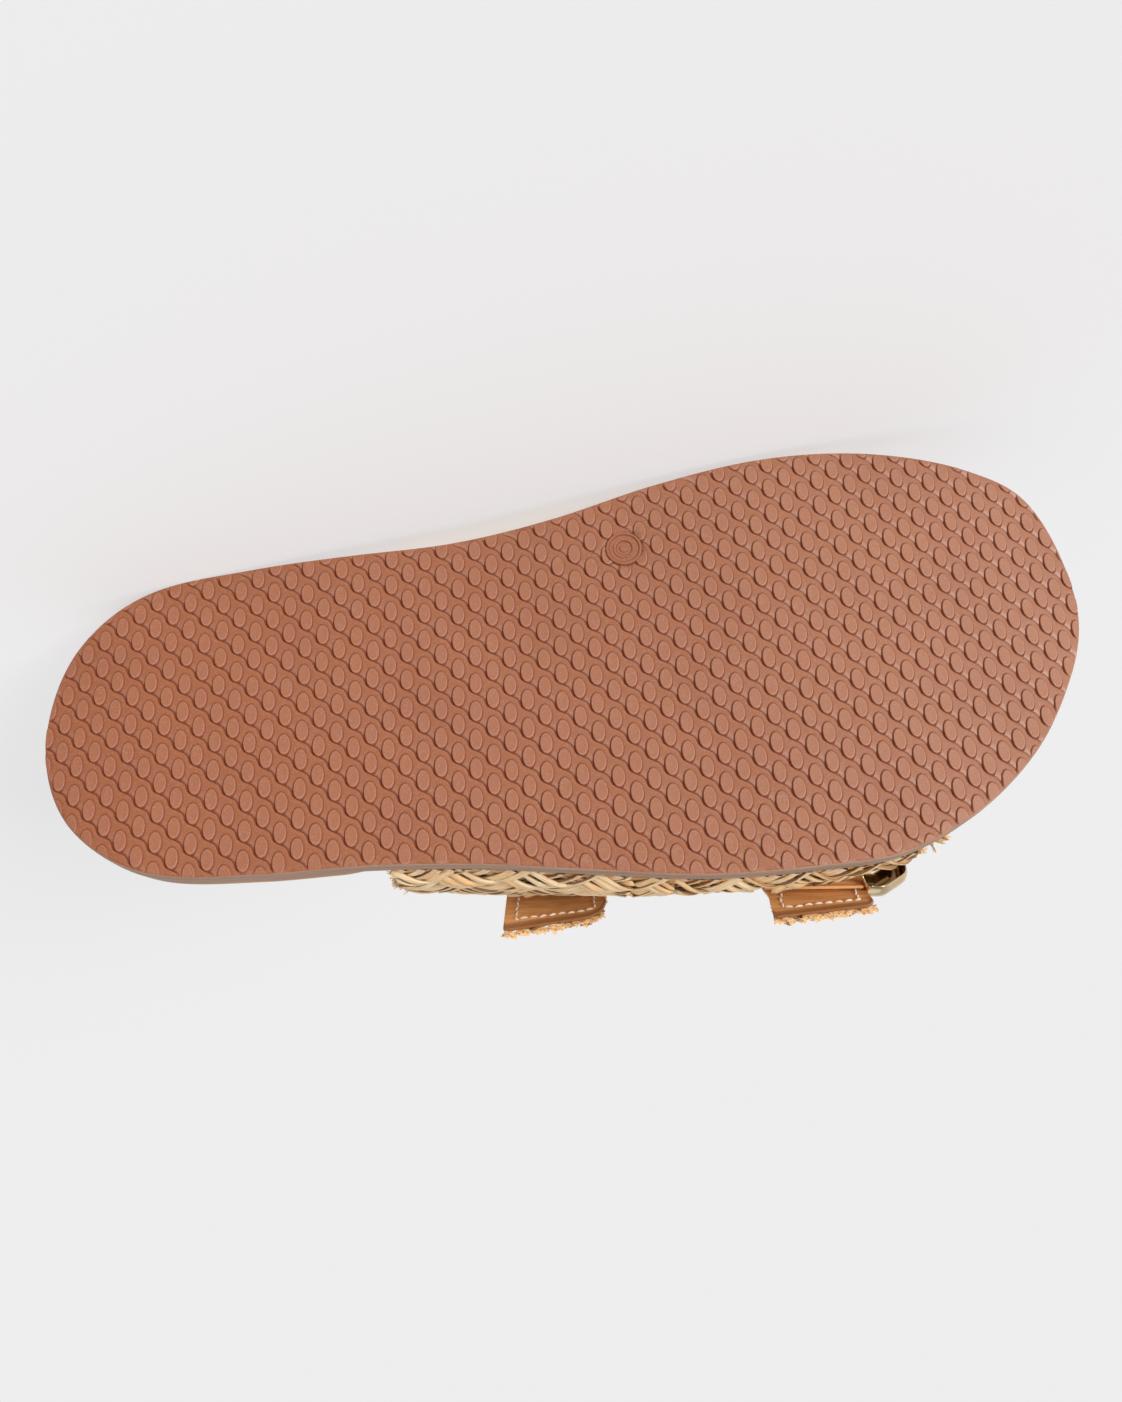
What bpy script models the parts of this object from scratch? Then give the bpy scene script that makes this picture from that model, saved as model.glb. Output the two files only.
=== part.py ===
"""Raffia slide sandal for the left foot, lying on its medial side.

The sandal is worked out standing, in millimetres: x runs from the back of the heel to the toe, y to the
lateral side and z up from the ground. An empty then lays it on its medial side, with the edge of the sole at
the heel and the medial side of the upper on the floor, and the origin on the floor under its middle.
"""
import math

import bmesh
import bpy
import numpy as np
from mathutils import Euler, Matrix, Vector

MM = 0.001
GAP = 0.3

# Sole: length, layers, and how the underside lifts off the ground at toe, heel and waist
LENGTH = 258.0
OUTSOLE_THICK = 7.0
INSOLE_THICK = 3.2
TOE_SPRING = 12.0
TOE_SPRING_FROM = 165.0
HEEL_SPRING = 2.5
HEEL_SPRING_TO = 25.0
WAIST_RISE = 1.2
WAIST_FROM, WAIST_TO = 60.0, 150.0
ARCH_RISE, ARCH_AT, ARCH_REACH = 4.0, 105.0, 38.0
ARCH_LEAN = 0.6
STATIONS = 36
ACROSS = 7
END_ANGLE = math.radians(3.5)

# station is the share of the length from the heel, medial and lateral are the reach of each edge from the axis
SOLE_SECTIONS = np.array(
    [
        (0.00, -1.5, 1.5),
        (0.03, 22.6, 23.5),
        (0.10, 35.4, 36.0),
        (0.20, 39.1, 39.1),
        (0.30, 40.5, 39.6),
        (0.40, 41.6, 41.9),
        (0.50, 45.4, 45.8),
        (0.60, 51.6, 49.5),
        (0.70, 55.9, 50.1),
        (0.77, 56.7, 49.0),
        (0.85, 54.9, 40.5),
        (0.92, 50.2, 26.5),
        (0.97, 42.4, 9.2),
        (1.00, 14.0, -14.0),
    ],
    dtype=[("station", float), ("medial", float), ("lateral", float)],
)
# share is the height up the side, step is how far the side stands out there
OUTSOLE_SIDE = np.array(
    [(0.0, -0.2), (0.1, 0.2), (0.78, 0.2), (0.83, -0.3), (1.0, -0.3)],
    dtype=[("share", float), ("step", float)],
)
INSOLE_SIDE = np.array(
    [(0.0, -0.3), (0.3, 0.0), (0.75, 0.0), (1.0, -0.6)],
    dtype=[("share", float), ("step", float)],
)
EDGE_INSET = 0.2
PANEL_INSET = 1.0
PANEL_FROM, PANEL_TO = 78.0, 206.0
INSET_EASE = 8.0

# Last: height of the foot's arch over the outsole, and how far its ridge leans to the medial side
LAST_SECTIONS = np.array(
    [
        (70.0, 80.0, 6.0),
        (95.0, 73.0, 8.0),
        (120.0, 66.0, 9.0),
        (150.0, 58.0, 9.0),
        (185.0, 50.0, 8.0),
        (215.0, 44.0, 7.0),
    ],
    dtype=[("x", float), ("height", float), ("lean", float)],
)
# A low power keeps a flank upright for longer, and the bulge swells the medial flank below the instep
MEDIAL_FLANK_POWER = 0.55
LATERAL_FLANK_POWER = 0.9
CROWN_POWER = 0.75
MEDIAL_BULGE = 3.5
ARC_SAMPLES = 400

# Raffia: thickness of the wall, rise of its plaited strips, and cells along and across its straps and notches
WALL = 1.8
TAB_WALL = 1.4
STRIP_RISE = 0.9
STRIP_ROWS = 4
STRAP_COLUMNS = 9
NOTCH_COLUMNS = 5
STRAP_ROWS = 28
NOTCH_ROWS = 4
PANEL_ROWS = 5
PANEL_NOTCH_ROWS = 4

# Each strap's reach along x at the sole, over the instep and at its buckle, the buckle's height and its turn
# towards the lateral side, and the tail: its length, and how far its tip is slanted, lifted and twisted; tuck is
# how far the toe end of the lateral panel is drawn in under the buckle
STRAPS = {
    "rear": {
        "sole": (82.0, 138.0),
        "instep": (97.0, 140.0),
        "buckle": (106.5, 133.5),
        "buckle_height": 57.0,
        "buckle_yaw": 5.0,
        "tail_length": 18.0,
        "tail_slant": 2.5,
        "tail_lift": -0.8,
        "tail_twist": 0.6,
        "tuck": 0.0,
    },
    "front": {
        "sole": (148.0, 206.0),
        "instep": (161.0, 204.0),
        "buckle": (172.5, 199.5),
        "buckle_height": 41.0,
        "buckle_yaw": 5.0,
        "tail_length": 14.5,
        "tail_slant": 0.6,
        "tail_lift": -2.4,
        "tail_twist": 1.3,
        "tuck": 5.5,
    },
}
# Where along the arch, t, a strap has its instep width, starts to narrow, and starts to straighten
INSTEP_AT, NARROW_FROM, STRAIGHT_FROM = 0.34, 0.45, 0.62
NARROW_END = 0.04
PANEL_NARROW_FROM = 0.3
TUCK_FULL_AT, TUCK_EASE = 0.7, 9.0
TAB_MARGIN = 1.0
# A strap lies in its buckle's plane for LOCAL_REACH each way, and eases into it over LOCAL_EASE
LOCAL_REACH = 16.0
LOCAL_EASE = 3.0

# Buckle, in its own plane: e along the bars, u up the strap, n out from the foot
BAR_APART = 14.0
HEEL_BAR_R = 1.3
HEEL_BAR_HALF = 12.9
FRAME_HALF_E = 22.2
FRAME_HALF_WIDTH = 3.2
FRAME_HALF_THICK = 2.4
FRAME_CORNER = 4.8
FRAME_PROUD = 3.2
FRAME_SIDES = 8
PRONG_R = 0.8
PRONG_SIDES = 8
LOOP_R = HEEL_BAR_R + GAP + TAB_WALL / 2
HEEL_BAR_U = -BAR_APART / 2
HEEL_BAR_N = TAB_WALL / 2 + LOOP_R
STRAP_PLAY = 0.7
TAIL_PLAY = 0.6
FREE_BAR_N = WALL + GAP + FRAME_HALF_THICK + STRAP_PLAY
OVER_BAR_N = HEEL_BAR_N + LOOP_R + TAB_WALL / 2 + WALL / 2 + TAIL_PLAY
# The strap climbs from under the free bar to over the heel bar: u up the strap, rise over its flat lie
STRAP_CLIMB = np.array(
    [(LOCAL_REACH, 0.0), (10.0, 0.3), (4.6, 0.4), (2.4, 1.5), (-0.4, 4.1)],
    dtype=[("u", float), ("rise", float)],
)
CREST_U, CREST_DROP = -3.6, 0.9
TAIL_SHARES = (0.0, 0.35, 0.7, 1.0)
PRONG_HOLE = slice(STRAP_ROWS + 5, STRAP_ROWS + 7)
# The tab's end comes back down on itself: u up the strap, drop under the top of the loop
TAB_FOLD = np.array(
    [(-9.0, 0.4), (-10.6, 1.1), (-12.2, 1.8)],
    dtype=[("u", float), ("drop", float)],
)
TAB_START_U = -11.5
PRONG_DIP, PRONG_OVERHANG, PRONG_TIP_DIP = 0.6, 2.6, 0.1
SHARP_ANGLE = math.radians(40)

# Rest on the floor: degrees of turn about x, then y, then z, that bring heel edge and medial panel level
REST_TURN = (88.38, -7.79, 177.42)


def clear_scene():
    """Removes whatever the file holds."""
    for thing in list(bpy.data.objects):
        bpy.data.objects.remove(thing, do_unlink=True)


def ease(value, low, high):
    """Smooth step from 0 at low to 1 at high."""
    share = np.clip((np.asarray(value, float) - low) / (high - low), 0.0, 1.0)
    return share * share * (3.0 - 2.0 * share)


def curve_through(knots, values, at):
    """Smooth curve through a table's rows: cubic pieces whose slopes come from the neighbouring rows."""
    slopes = np.gradient(values, knots)
    at = np.clip(at, knots[0], knots[-1])
    row = np.clip(np.searchsorted(knots, at) - 1, 0, len(knots) - 2)
    span = knots[row + 1] - knots[row]
    u = (at - knots[row]) / span
    start = (1 + 2 * u) * (1 - u) ** 2 * values[row] + u * (1 - u) ** 2 * span * slopes[row]
    end = u * u * (3 - 2 * u) * values[row + 1] - u * u * (1 - u) * span * slopes[row + 1]
    return start + end


def turn_of(x):
    """Angle that runs from 0 at the heel to pi at the toe, in which a round end is a straight slope."""
    return np.arccos(np.clip(1 - 2 * np.asarray(x, float) / LENGTH, -1, 1))


def sole_reach(x):
    """Reach of the medial and of the lateral edge from the axis."""
    knots = turn_of(SOLE_SECTIONS["station"] * LENGTH)
    angle = turn_of(x)
    medial = curve_through(knots, SOLE_SECTIONS["medial"], angle)
    return medial, curve_through(knots, SOLE_SECTIONS["lateral"], angle)


def underside(x, across):
    """Height of the outsole's underside: toe and heel spring, and a small rise under the medial waist."""
    toe = TOE_SPRING * np.clip((x - TOE_SPRING_FROM) / (LENGTH - TOE_SPRING_FROM), 0, 1) ** 2
    heel = HEEL_SPRING * np.clip((HEEL_SPRING_TO - x) / HEEL_SPRING_TO, 0, 1) ** 2
    waist = np.sin(np.pi * np.clip((x - WAIST_FROM) / (WAIST_TO - WAIST_FROM), 0, 1)) ** 2
    return toe + heel + WAIST_RISE * waist * (1 - across) / 2


def deck(x, across):
    """Height of the outsole's top."""
    return underside(x, across) + OUTSOLE_THICK


def footbed(x, across):
    """Height of the insole's top: its thickness, and a swell under the arch that dies out at the edges."""
    swell = np.exp(-(((x - ARCH_AT) / ARCH_REACH) ** 2)) * (1 - across**2) * (1 - ARCH_LEAN * across)
    return deck(x, across) + GAP + INSOLE_THICK + ARCH_RISE * swell


def insole_inset(x):
    """How far the insole's edge stands inside the outsole's: more where the raffia covers it."""
    covered = ease(x, PANEL_FROM - INSET_EASE, PANEL_FROM) * ease(-x, -PANEL_TO - INSET_EASE, -PANEL_TO)
    return EDGE_INSET + (PANEL_INSET - EDGE_INSET) * covered


def last_point(x, t):
    """Inner face of the raffia: an arch from the medial edge, t = 0, over the instep to the lateral one, t = 1."""
    x, t = np.broadcast_arrays(np.asarray(x, float), np.asarray(t, float))
    medial, lateral = sole_reach(x)
    medial = medial - PANEL_INSET + GAP
    lateral = lateral - PANEL_INSET + GAP
    height = curve_through(LAST_SECTIONS["x"], LAST_SECTIONS["height"], x)
    lean = curve_through(LAST_SECTIONS["x"], LAST_SECTIONS["lean"], x)
    cosine = np.cos(np.pi * t)
    sine = np.clip(np.sin(np.pi * t), 0.0, 1.0)
    power = np.where(t < 0.5, MEDIAL_FLANK_POWER, LATERAL_FLANK_POWER)
    flank = np.sign(cosine) * np.abs(cosine) ** power
    bulge = np.where(t < 0.5, MEDIAL_BULGE * np.sin(2 * np.pi * t) ** 2, 0.0)
    y = (lateral - medial) / 2 - (lateral + medial) / 2 * flank - lean * sine**2 - bulge
    z = deck(x, np.where(t < 0.5, -1.0, 1.0)) + GAP + height * sine**CROWN_POWER
    return np.stack([x, y, z], axis=-1)


def unit(vectors):
    return vectors / np.linalg.norm(vectors, axis=-1, keepdims=True)


def buckle_frame_of(strap):
    """Middle of the buckle on the lateral flank and its axes: e along the bars, u up the strap, n outwards."""
    x = sum(strap["buckle"]) / 2
    height = curve_through(LAST_SECTIONS["x"], LAST_SECTIONS["height"], np.array([x]))[0]
    rise = strap["buckle_height"] - deck(x, 1.0) - GAP
    t = 1 - math.asin((rise / height) ** (1 / CROWN_POWER)) / math.pi
    step = 1e-3
    up = last_point(x, t - step) - last_point(x, t + step)
    yaw = math.radians(strap["buckle_yaw"])
    e = np.array([math.cos(yaw), math.sin(yaw), 0.0])
    u = unit(up - e * (up @ e))
    speed = np.linalg.norm(up) / (2 * step)
    axes = {"e": e, "u": u, "n": np.cross(u, e)}
    return {"x": x, "t": t, "speed": speed, "middle": last_point(x, t), **axes}


def in_buckle_plane(place, e, u, n):
    """Points given by distances along the buckle's own axes."""
    shape = np.broadcast_shapes(np.shape(e), np.shape(u), np.shape(n))
    e, u, n = (np.broadcast_to(v, shape)[..., None] for v in (e, u, n))
    return place["middle"] + e * place["e"] + u * place["u"] + n * place["n"]


def arc_rows(x, t_from, t_to, rows):
    """Values of t between two ends that are evenly spaced along the last's arch at x."""
    t = np.linspace(t_from, t_to, ARC_SAMPLES)
    steps = np.linalg.norm(np.diff(last_point(x, t), axis=0), axis=1)
    run = np.concatenate([[0.0], np.cumsum(steps)])
    return np.interp(np.linspace(0, run[-1], rows + 1), run, t)


def strap_reach(strap, t, t_buckle):
    """Low and high x of a strap: wide at the sole, then its instep width, then narrowed to its buckle."""
    rise = ease(t, 0.0, INSTEP_AT)
    narrow = ease(t, NARROW_FROM, t_buckle - NARROW_END)
    ends = []
    for side in (0, 1):
        width = strap["sole"][side] + (strap["instep"][side] - strap["sole"][side]) * rise
        ends.append(width + (strap["buckle"][side] - width) * narrow)
    return ends


def strap_tail(strap):
    """The strap's way through its buckle, in the buckle's plane: under the free bar, over the heel bar, out."""
    way = [(row["u"], WALL / 2 + row["rise"]) for row in STRAP_CLIMB]
    way.append((CREST_U, OVER_BAR_N - CREST_DROP))
    for share in TAIL_SHARES:
        way.append((HEEL_BAR_U - share * strap["tail_length"], OVER_BAR_N + share * strap["tail_lift"]))
    return np.array(way)


def tab_loop():
    """The tab's way round the heel bar, in the buckle's plane: up under it, round it, and back down."""
    half = TAB_WALL / 2
    way = [(-LOCAL_REACH, half), (TAB_START_U, half)]
    for degrees in range(-90, 91, 30):
        angle = math.radians(degrees)
        way.append((HEEL_BAR_U + LOOP_R * math.cos(angle), HEEL_BAR_N + LOOP_R * math.sin(angle)))
    way += [(row["u"], HEEL_BAR_N + LOOP_R - row["drop"]) for row in TAB_FOLD]
    return np.array(way)


def strap_block(strap):
    """Middle surface of one strap, from the medial sole edge to the tip of its tail, and its buckle's place."""
    place = buckle_frame_of(strap)
    shares = np.linspace(0, 1, STRAP_COLUMNS + 1)
    t_end = place["t"] - (LOCAL_REACH + LOCAL_EASE) / place["speed"]
    t = arc_rows(place["x"], 0.0, t_end, STRAP_ROWS)[:, None]
    low, high = strap_reach(strap, t, place["t"])
    x = low + (high - low) * shares
    on_last = last_point(x, t)
    straight = last_point(np.full_like(x, place["x"]), t) + (x - place["x"])[..., None] * place["e"]
    weight = ease(t, STRAIGHT_FROM, t_end)[..., None]
    over_instep = on_last + (straight - on_last) * weight
    way = strap_tail(strap)
    half = (strap["buckle"][1] - strap["buckle"][0]) / 2
    e = (shares - 0.5) * 2 * half
    tail = ease(-way[:, :1], -HEEL_BAR_U, -way[-1, 0]) * (shares - 0.5) * 2
    slanted_u = way[:, :1] + strap["tail_slant"] * tail
    twisted_n = way[:, 1:] - strap["tail_twist"] * tail
    through = in_buckle_plane(place, e[None, :], slanted_u, twisted_n)
    return np.concatenate([over_instep, through]), place


def panel_block(strap, place):
    """Middle surface of one half of the lateral panel, from the sole edge up to its tab's loop."""
    shares = np.linspace(0, 1, STRAP_COLUMNS + 1)
    t_end = place["t"] + (LOCAL_REACH + LOCAL_EASE) / place["speed"]
    t = arc_rows(place["x"], 1.0, t_end, PANEL_ROWS)[:, None]
    tab = (strap["buckle"][0] + TAB_MARGIN, strap["buckle"][1] - TAB_MARGIN)
    rise = ease(1 - t, PANEL_NARROW_FROM * (1 - t_end), 1 - t_end)
    low = strap["sole"][0] + (tab[0] - strap["sole"][0]) * rise
    high = strap["sole"][1] + (tab[1] - strap["sole"][1]) * rise
    x = low + (high - low) * shares
    on_last = last_point(x, t)
    straight = last_point(np.full_like(x, place["x"]), t) + (x - place["x"])[..., None] * place["e"]
    base = on_last + (straight - on_last) * rise[..., None]
    tuck = strap["tuck"] * shares * ease(1 - t, 0.0, TUCK_FULL_AT * (1 - t_end))
    base = base - tuck[..., None] * place["n"]
    way = tab_loop()
    run = np.concatenate([[0.0], np.cumsum(np.linalg.norm(np.diff(way, axis=0), axis=1))])[:, None]
    tuck = strap["tuck"] * shares * (1 - ease(run, 0.0, TUCK_EASE))
    e = (shares - 0.5) * (tab[1] - tab[0])
    loop = in_buckle_plane(place, e[None, :], way[:, :1], way[:, 1:] - tuck)
    return np.concatenate([base, loop])


def bridge(left, right, columns):
    """Columns between two blocks, straight across the notch."""
    shares = np.linspace(0, 1, columns + 1)[1:-1]
    return left[:, -1:] + (right[:, :1] - left[:, -1:]) * shares[:, None]


def block_normals(block, outward):
    """Unit normals of a block of points, turned to the side of the given rough direction."""
    normal = unit(np.cross(np.gradient(block, axis=0), np.gradient(block, axis=1)))
    return normal * np.sign((normal[:3] * outward).sum())


def plait(rows, columns):
    """Rise of the plaited strips: ridges that run as chevrons, falling away from the middle column."""
    row = np.arange(rows)[:, None]
    column = np.abs(np.arange(columns) - (columns - 1) / 2)[None, :]
    return STRIP_RISE * (0.5 + 0.5 * np.cos(2 * np.pi * (row + column) / STRIP_ROWS))


def wall_solid(outer, inner, keep):
    """Vertices and faces of a wall over the kept cells of a grid, closed along every edge that a cell lacks."""
    rows, columns = keep.shape
    number = {}
    points = []
    faces = []

    def vertex(layer, row, column):
        key = (layer, row, column)
        if key not in number:
            number[key] = len(points)
            points.append((outer, inner)[layer][row, column])
        return number[key]

    for row in range(rows):
        for column in range(columns):
            if not keep[row, column]:
                continue
            corners = [(row, column), (row, column + 1), (row + 1, column + 1), (row + 1, column)]
            faces.append([vertex(0, *corner) for corner in corners])
            faces.append([vertex(1, *corner) for corner in reversed(corners)])
            beside = [(row - 1, column), (row, column + 1), (row + 1, column), (row, column - 1)]
            for side, (r, c) in enumerate(beside):
                if 0 <= r < rows and 0 <= c < columns and keep[r, c]:
                    continue
                start, end = corners[side], corners[(side + 1) % 4]
                faces.append([vertex(0, *end), vertex(0, *start), vertex(1, *start), vertex(1, *end)])
    return points, faces


def ring_solid(rings, closed):
    """Vertices and faces of a row of rings joined in order, capped at both ends unless it closes on itself."""
    count, around = rings.shape[:2]
    points = list(rings.reshape(-1, 3))
    faces = []
    for i in range(count if closed else count - 1):
        after = (i + 1) % count
        for j in range(around):
            k = (j + 1) % around
            faces.append([i * around + j, i * around + k, after * around + k, after * around + j])
    if not closed:
        for i in (0, count - 1):
            middle = len(points)
            points.append(rings[i].mean(axis=0))
            for j in range(around):
                faces.append([middle, i * around + j, i * around + (j + 1) % around])
    return points, faces


def sole_layer(low, high, inset, side):
    """Loft of a sole layer: each ring runs across its underside, up the lateral side, back, and down again."""
    angle = np.linspace(END_ANGLE, math.pi - END_ANGLE, STATIONS)
    x = LENGTH / 2 * (1 - np.cos(angle))
    medial, lateral = sole_reach(x)
    across = np.linspace(-1, 1, ACROSS)
    edges = {}
    for name, reach, sign in (("medial", medial, -1.0), ("lateral", lateral, 1.0)):
        line = np.stack([x, sign * reach], axis=-1)
        slope = unit(np.gradient(line, axis=0))
        out = np.stack([-slope[:, 1], slope[:, 0]], axis=-1) * sign
        edges[name] = (line - out * inset(x)[:, None], out)

    def edge(name, row, v):
        line, out = edges[name]
        flat = line + out * row["step"]
        bottom = low(flat[:, 0], v)
        top = high(flat[:, 0], v)
        return np.column_stack([flat, bottom + (top - bottom) * row["share"]])

    def level(row, height):
        a, b = edge("medial", row, -1.0), edge("lateral", row, 1.0)
        rows = a[:, None] + (b - a)[:, None] * ((across + 1) / 2)[None, :, None]
        rows[..., 2] = height(rows[..., 0], across[None, :])
        return rows

    bottom = level(side[0], low)
    top = level(side[-1], high)
    rising = np.stack([edge("lateral", row, 1.0) for row in side[1:-1]], axis=1)
    falling = np.stack([edge("medial", row, -1.0) for row in side[1:-1][::-1]], axis=1)
    return ring_solid(np.concatenate([bottom, rising, top[:, ::-1], falling], axis=1), closed=False)


def buckle_frame():
    """Frame of a buckle about its middle: a rounded ring of bars with a thin round heel bar."""
    half_u = BAR_APART / 2
    path = []
    corners = [(1, -1), (1, 1), (-1, 1), (-1, -1)]
    for quarter, (side_e, side_u) in enumerate(corners):
        centre = np.array([side_e * (FRAME_HALF_E - FRAME_CORNER), side_u * (half_u - FRAME_CORNER)])
        for degrees in (-90, -60, -30, 0):
            angle = math.radians(degrees + 90 * quarter)
            path.append(centre + FRAME_CORNER * np.array([math.cos(angle), math.sin(angle)]))
        if side_e == side_u:
            for share in (1.0, 0.4, -0.4, -1.0):
                path.append(np.array([share * side_e * HEEL_BAR_HALF, side_u * half_u]))
    path = np.array(path)
    ahead = unit(np.roll(path, -1, axis=0) - np.roll(path, 1, axis=0))
    out = np.stack([ahead[:, 1], -ahead[:, 0]], axis=-1)
    heel = (path[:, 1] < 0.1 - half_u) & (np.abs(path[:, 0]) < HEEL_BAR_HALF + 0.1)
    wide = np.where(heel, HEEL_BAR_R, FRAME_HALF_WIDTH)
    thick = np.where(heel, HEEL_BAR_R, FRAME_HALF_THICK)
    proud_n = HEEL_BAR_N + FRAME_PROUD
    level = proud_n + (FREE_BAR_N - proud_n) * (path[:, 1] + half_u) / BAR_APART
    level = np.where(heel, HEEL_BAR_N, level)
    turn = (np.arange(FRAME_SIDES) + 0.5) * 2 * math.pi / FRAME_SIDES
    flat = path[:, None] + out[:, None] * (wide[:, None] * np.cos(turn))[..., None]
    rings = np.concatenate([flat, (level[:, None] + thick[:, None] * np.sin(turn))[..., None]], axis=-1)
    return ring_solid(rings, closed=True)


def buckle_prong():
    """Prong of a buckle: a round rod curled about the heel bar that runs out over the free bar."""
    curl = HEEL_BAR_R + GAP + PRONG_R
    way = []
    for degrees in range(-200, 91, 29):
        angle = math.radians(degrees)
        way.append((HEEL_BAR_U + curl * math.cos(angle), HEEL_BAR_N + curl * math.sin(angle)))
    free_u = BAR_APART / 2
    rest_n = FREE_BAR_N + FRAME_HALF_THICK + GAP + PRONG_R
    way += [(0.0, rest_n - PRONG_DIP), (free_u, rest_n), (free_u + PRONG_OVERHANG, rest_n - PRONG_TIP_DIP)]
    way = np.array(way)
    ahead = unit(np.gradient(way, axis=0))
    out = np.stack([-ahead[:, 1], ahead[:, 0]], axis=-1)
    turn = np.arange(PRONG_SIDES) * 2 * math.pi / PRONG_SIDES
    flat = way[:, None] + out[:, None] * (PRONG_R * np.cos(turn))[None, :, None]
    side = np.broadcast_to(PRONG_R * np.sin(turn), flat.shape[:2])
    return ring_solid(np.concatenate([side[..., None], flat], axis=-1), closed=False)


def woven_upper():
    """The medial panel, its two straps over the instep and their tails, as one wall."""
    rear, rear_place = strap_block(STRAPS["rear"])
    front, front_place = strap_block(STRAPS["front"])
    middle = bridge(rear, front, NOTCH_COLUMNS)
    grid = np.concatenate([rear, middle, front], axis=1)
    outward = np.array([0.0, -1.0, 0.3])
    normals = np.concatenate(
        [block_normals(rear, outward), block_normals(middle, outward), block_normals(front, outward)], axis=1
    )
    rows, columns = grid.shape[:2]
    keep = np.ones((rows - 1, columns - 1), bool)
    keep[NOTCH_ROWS:, STRAP_COLUMNS : STRAP_COLUMNS + NOTCH_COLUMNS] = False
    for first in (0, STRAP_COLUMNS + NOTCH_COLUMNS):
        keep[PRONG_HOLE, first + STRAP_COLUMNS // 2] = False
    strips = np.concatenate([plait(rows, STRAP_COLUMNS + 1), plait(rows, NOTCH_COLUMNS - 1),
                             plait(rows, STRAP_COLUMNS + 1)], axis=1)
    strips[STRAP_ROWS - 1 : PRONG_HOLE.stop + 1] = 0.0
    lift = np.where(np.arange(rows) <= STRAP_ROWS, WALL / 2, 0.0)[:, None, None]
    inner = grid + normals * (lift - WALL / 2)
    outer = grid + normals * (lift + WALL / 2 + strips[..., None])
    return wall_solid(outer, inner, keep), {"rear": rear_place, "front": front_place}


def woven_panel(places):
    """The lateral side panel with its two tabs folded round the heel bars, slotted for the prongs."""
    rear = panel_block(STRAPS["rear"], places["rear"])
    front = panel_block(STRAPS["front"], places["front"])
    middle = bridge(rear, front, NOTCH_COLUMNS)
    grid = np.concatenate([rear, middle, front], axis=1)
    outward = np.array([0.0, 1.0, 0.3])
    normals = np.concatenate(
        [block_normals(rear, outward), block_normals(middle, outward), block_normals(front, outward)], axis=1
    )
    rows, columns = grid.shape[:2]
    keep = np.ones((rows - 1, columns - 1), bool)
    keep[PANEL_NOTCH_ROWS:, STRAP_COLUMNS : STRAP_COLUMNS + NOTCH_COLUMNS] = False
    for first in (0, STRAP_COLUMNS + NOTCH_COLUMNS):
        keep[PANEL_ROWS + 2 :, first + STRAP_COLUMNS // 2] = False
    strips = np.concatenate([plait(rows, STRAP_COLUMNS + 1), plait(rows, NOTCH_COLUMNS - 1),
                             plait(rows, STRAP_COLUMNS + 1)], axis=1)
    strips[PANEL_ROWS - 1 :] = 0.0
    lift = np.where(np.arange(rows) <= PANEL_ROWS, TAB_WALL / 2, 0.0)[:, None, None]
    inner = grid + normals * (lift - TAB_WALL / 2)
    outer = grid + normals * (lift + TAB_WALL / 2 + strips[..., None])
    return wall_solid(outer, inner, keep)


def finish(name, colour, roughness, metallic=0.0):
    """Plain Principled material of one piece."""
    material = bpy.data.materials.new(name)
    material.use_nodes = True
    shader = material.node_tree.nodes["Principled BSDF"]
    shader.inputs["Base Color"].default_value = (*colour, 1.0)
    shader.inputs["Roughness"].default_value = roughness
    shader.inputs["Metallic"].default_value = metallic
    return material


def add_piece(name, solid, material, parent, place=None):
    """Makes one named object from points in millimetres, set under the resting empty."""
    points, faces = solid
    mesh = bpy.data.meshes.new(name)
    mesh.from_pydata([tuple(float(c) * MM for c in p) for p in points], [], faces)
    shape = bmesh.new()
    shape.from_mesh(mesh)
    bmesh.ops.recalc_face_normals(shape, faces=shape.faces)
    shape.to_mesh(mesh)
    shape.free()
    mesh.shade_smooth()
    mesh.set_sharp_from_angle(angle=SHARP_ANGLE)
    mesh.materials.append(material)
    piece = bpy.data.objects.new(name, mesh)
    bpy.context.collection.objects.link(piece)
    piece.parent = parent
    if place is not None:
        turn = Matrix([place["e"], place["u"], place["n"]]).transposed().to_4x4()
        piece.matrix_local = Matrix.Translation(Vector(place["middle"]) * MM) @ turn
    return piece


def settle(rest):
    """Moves the resting empty so that its lowest piece is on the floor and the origin is under the middle."""
    bpy.context.view_layer.update()
    points = np.array([piece.matrix_world @ v.co for piece in rest.children for v in piece.data.vertices])
    low = points.min(axis=0)
    high = points.max(axis=0)
    rest.location = Vector((-(low[0] + high[0]) / 2, -(low[1] + high[1]) / 2, -low[2]))


def build():
    clear_scene()
    rest = bpy.data.objects.new("rest", None)
    bpy.context.collection.objects.link(rest)
    rest.rotation_mode = "XYZ"
    rest.rotation_euler = Euler([math.radians(a) for a in REST_TURN], "XYZ")

    rubber = finish("brown_rubber", (0.36, 0.155, 0.085), 0.5)
    leather = finish("tan_leather", (0.40, 0.21, 0.12), 0.55)
    raffia = finish("woven_raffia", (0.72, 0.47, 0.25), 0.7)
    metal = finish("pale_gold", (0.75, 0.62, 0.38), 0.25, 1.0)

    outsole = sole_layer(underside, deck, lambda x: np.zeros_like(x), OUTSOLE_SIDE)
    add_piece("outsole", outsole, rubber, rest)
    insole = sole_layer(lambda x, v: deck(x, v) + GAP, footbed, insole_inset, INSOLE_SIDE)
    add_piece("insole", insole, leather, rest)
    upper, places = woven_upper()
    add_piece("upper", upper, raffia, rest)
    add_piece("lateral_panel", woven_panel(places), raffia, rest)
    for which, place in places.items():
        add_piece(f"buckle_frame_{which}", buckle_frame(), metal, rest, place)
        add_piece(f"buckle_prong_{which}", buckle_prong(), metal, rest, place)
    settle(rest)


build()
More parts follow.
